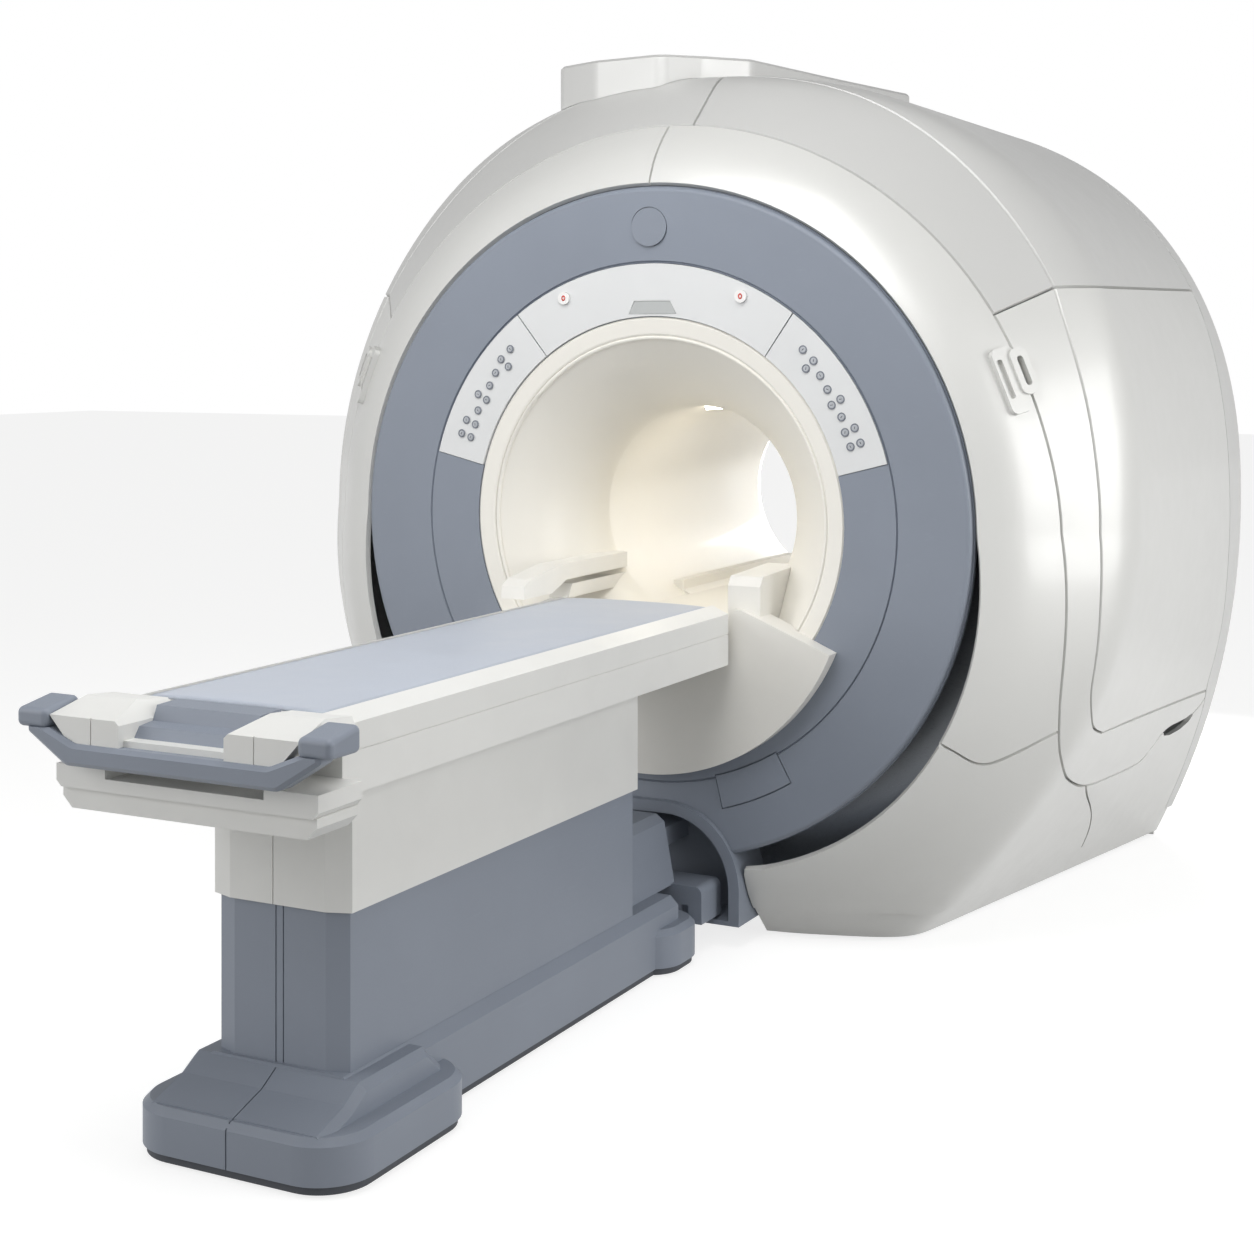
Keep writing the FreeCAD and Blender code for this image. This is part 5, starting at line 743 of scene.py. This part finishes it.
class SCANNER_OT_controls(bpy.types.Operator):
    """Finishes the stop buttons and the display, and puts the marks on the buttons."""

    bl_idname = "scanner.controls"
    bl_label = "Stop buttons and display"

    def execute(self, context):
        scene = context.scene
        colours = scene.scanner_colours
        buttons = both_sides("stop_button")
        dress(moulded_abs("stop_cap_abs", colours.stop_cap, grain_mm=1.5, roughness=0.3), *buttons)
        dress(display_glass("display_window", colours.glass, glow=0.05), "display_window")
        red = moulded_abs("stop_mark_red", colours.stop_mark, grain_mm=1.5, roughness=0.35)
        radius = scene.scanner_sizes.stop_radius
        squash = Matrix.Diagonal((STOP_MARK_SQUASH, 1.0, 1.0, 1.0))
        for button in buttons:
            low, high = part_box(button)
            front = Vector(((low.x + high.x) / 2, low.y, (low.z + high.z) / 2))
            place = Matrix.Translation(front) @ Matrix.Rotation(math.pi / 2, 4, "X")
            ring = lathe(STOP_MARK_PROFILE, radius, radius, STOP_MARK_SEGMENTS)
            bmesh.ops.transform(ring, matrix=place @ squash, verts=ring.verts)
            piece_from(ring, button.replace("button", "mark"), button, red)
        return {"FINISHED"}


class SCANNER_OT_bore(bpy.types.Operator):
    """Finishes the funnels, the bore tube, its lamp and the pieces inside its mouth."""

    bl_idname = "scanner.bore"
    bl_label = "Bore"

    def execute(self, context):
        scene = context.scene
        colours = scene.scanner_colours
        gelcoat = bore_gelcoat("bore_gelcoat", colours.gelcoat)
        dress(gelcoat, "bore_liner", "front_funnel", "rear_funnel", "inner_front_ring", "patient_bridge")
        guard = moulded_abs("guard_abs", colours.guard, grain_mm=3.0, roughness=0.4)
        dress(guard, "left_guard", "right_guard", "bridge_apron")
        strength = scene.scanner_studio.bore_lamp
        dress(lit_diffuser("lamp_opal", colours.lamp_face, colours.lamp_glow, strength), "bore_lamp")
        return {"FINISHED"}


class SCANNER_OT_table(bpy.types.Operator):
    """Finishes the patient table."""

    bl_idname = "scanner.table"
    bl_label = "Patient table"

    def execute(self, context):
        colours = context.scene.scanner_colours
        white = moulded_abs("table_polyurethane", colours.table, grain_mm=3.0, roughness=0.36)
        dress(white, "table_frame", "table_tray", "upper_column", "end_blocks", "cradle")
        slate = satin_slate("table_slate", colours.slate)
        dress(slate, "table_base", "lower_column", "pull_bar", "foot_step", "docking_head")
        # the skirt's dark colour is partly painted shade, for the shadow gap under the base
        dress(skirt_rubber("skirt_rubber", colours.skirt_and_shadow), "base_skirt")
        steel = brushed_steel("zinc_plated_steel", colours.zinc)
        dress(steel, "chassis", "caster_fork_left", "caster_fork_right")
        tyre = skirt_rubber("tyre_rubber", colours.tyre)
        dress(tyre, *both_sides("caster_wheel", "dock_wheel"))
        return {"FINISHED"}


class SCANNER_OT_mattress(bpy.types.Operator):
    """Makes the mattress: a thin padded vinyl cushion."""

    bl_idname = "scanner.mattress"
    bl_label = "Mattress"

    def execute(self, context):
        vinyl = pad_vinyl("medical_vinyl", context.scene.scanner_colours.pad)
        pad = piece_from(pad_form(*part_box("mattress")), "mattress_pad", "cradle", vinyl)
        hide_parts("mattress")
        return {"FINISHED"}


class SCANNER_PT_panel(bpy.types.Panel):
    """Lists the scanner's groups of pieces."""

    bl_label = "MRI scanner"
    bl_idname = "SCANNER_PT_panel"
    bl_space_type = "VIEW_3D"
    bl_region_type = "UI"
    bl_category = "Scanner"

    def draw(self, context):
        for step in STEPS:
            self.layout.operator(step.bl_idname)


STEPS = (
    SCANNER_OT_stage,
    SCANNER_OT_covers,
    SCANNER_OT_magnet,
    SCANNER_OT_ring,
    SCANNER_OT_keys,
    SCANNER_OT_controls,
    SCANNER_OT_bore,
    SCANNER_OT_table,
    SCANNER_OT_mattress,
)
GROUPS = {
    "scanner_colours": ScannerColours,
    "scanner_sizes": ScannerSizes,
    "scanner_studio": ScannerStudio,
}


def register():
    for cls in (*GROUPS.values(), *STEPS, SCANNER_PT_panel):
        bpy.utils.register_class(cls)
    for name, group in GROUPS.items():
        setattr(bpy.types.Scene, name, PointerProperty(type=group))


def unregister():
    for name in GROUPS:
        delattr(bpy.types.Scene, name)
    for cls in (SCANNER_PT_panel, *reversed(STEPS), *GROUPS.values()):
        bpy.utils.unregister_class(cls)


def main():
    register()
    for step in STEPS:
        family, name = step.bl_idname.split(".")
        getattr(getattr(bpy.ops, family), name)()


if __name__ == "__main__":
    main()
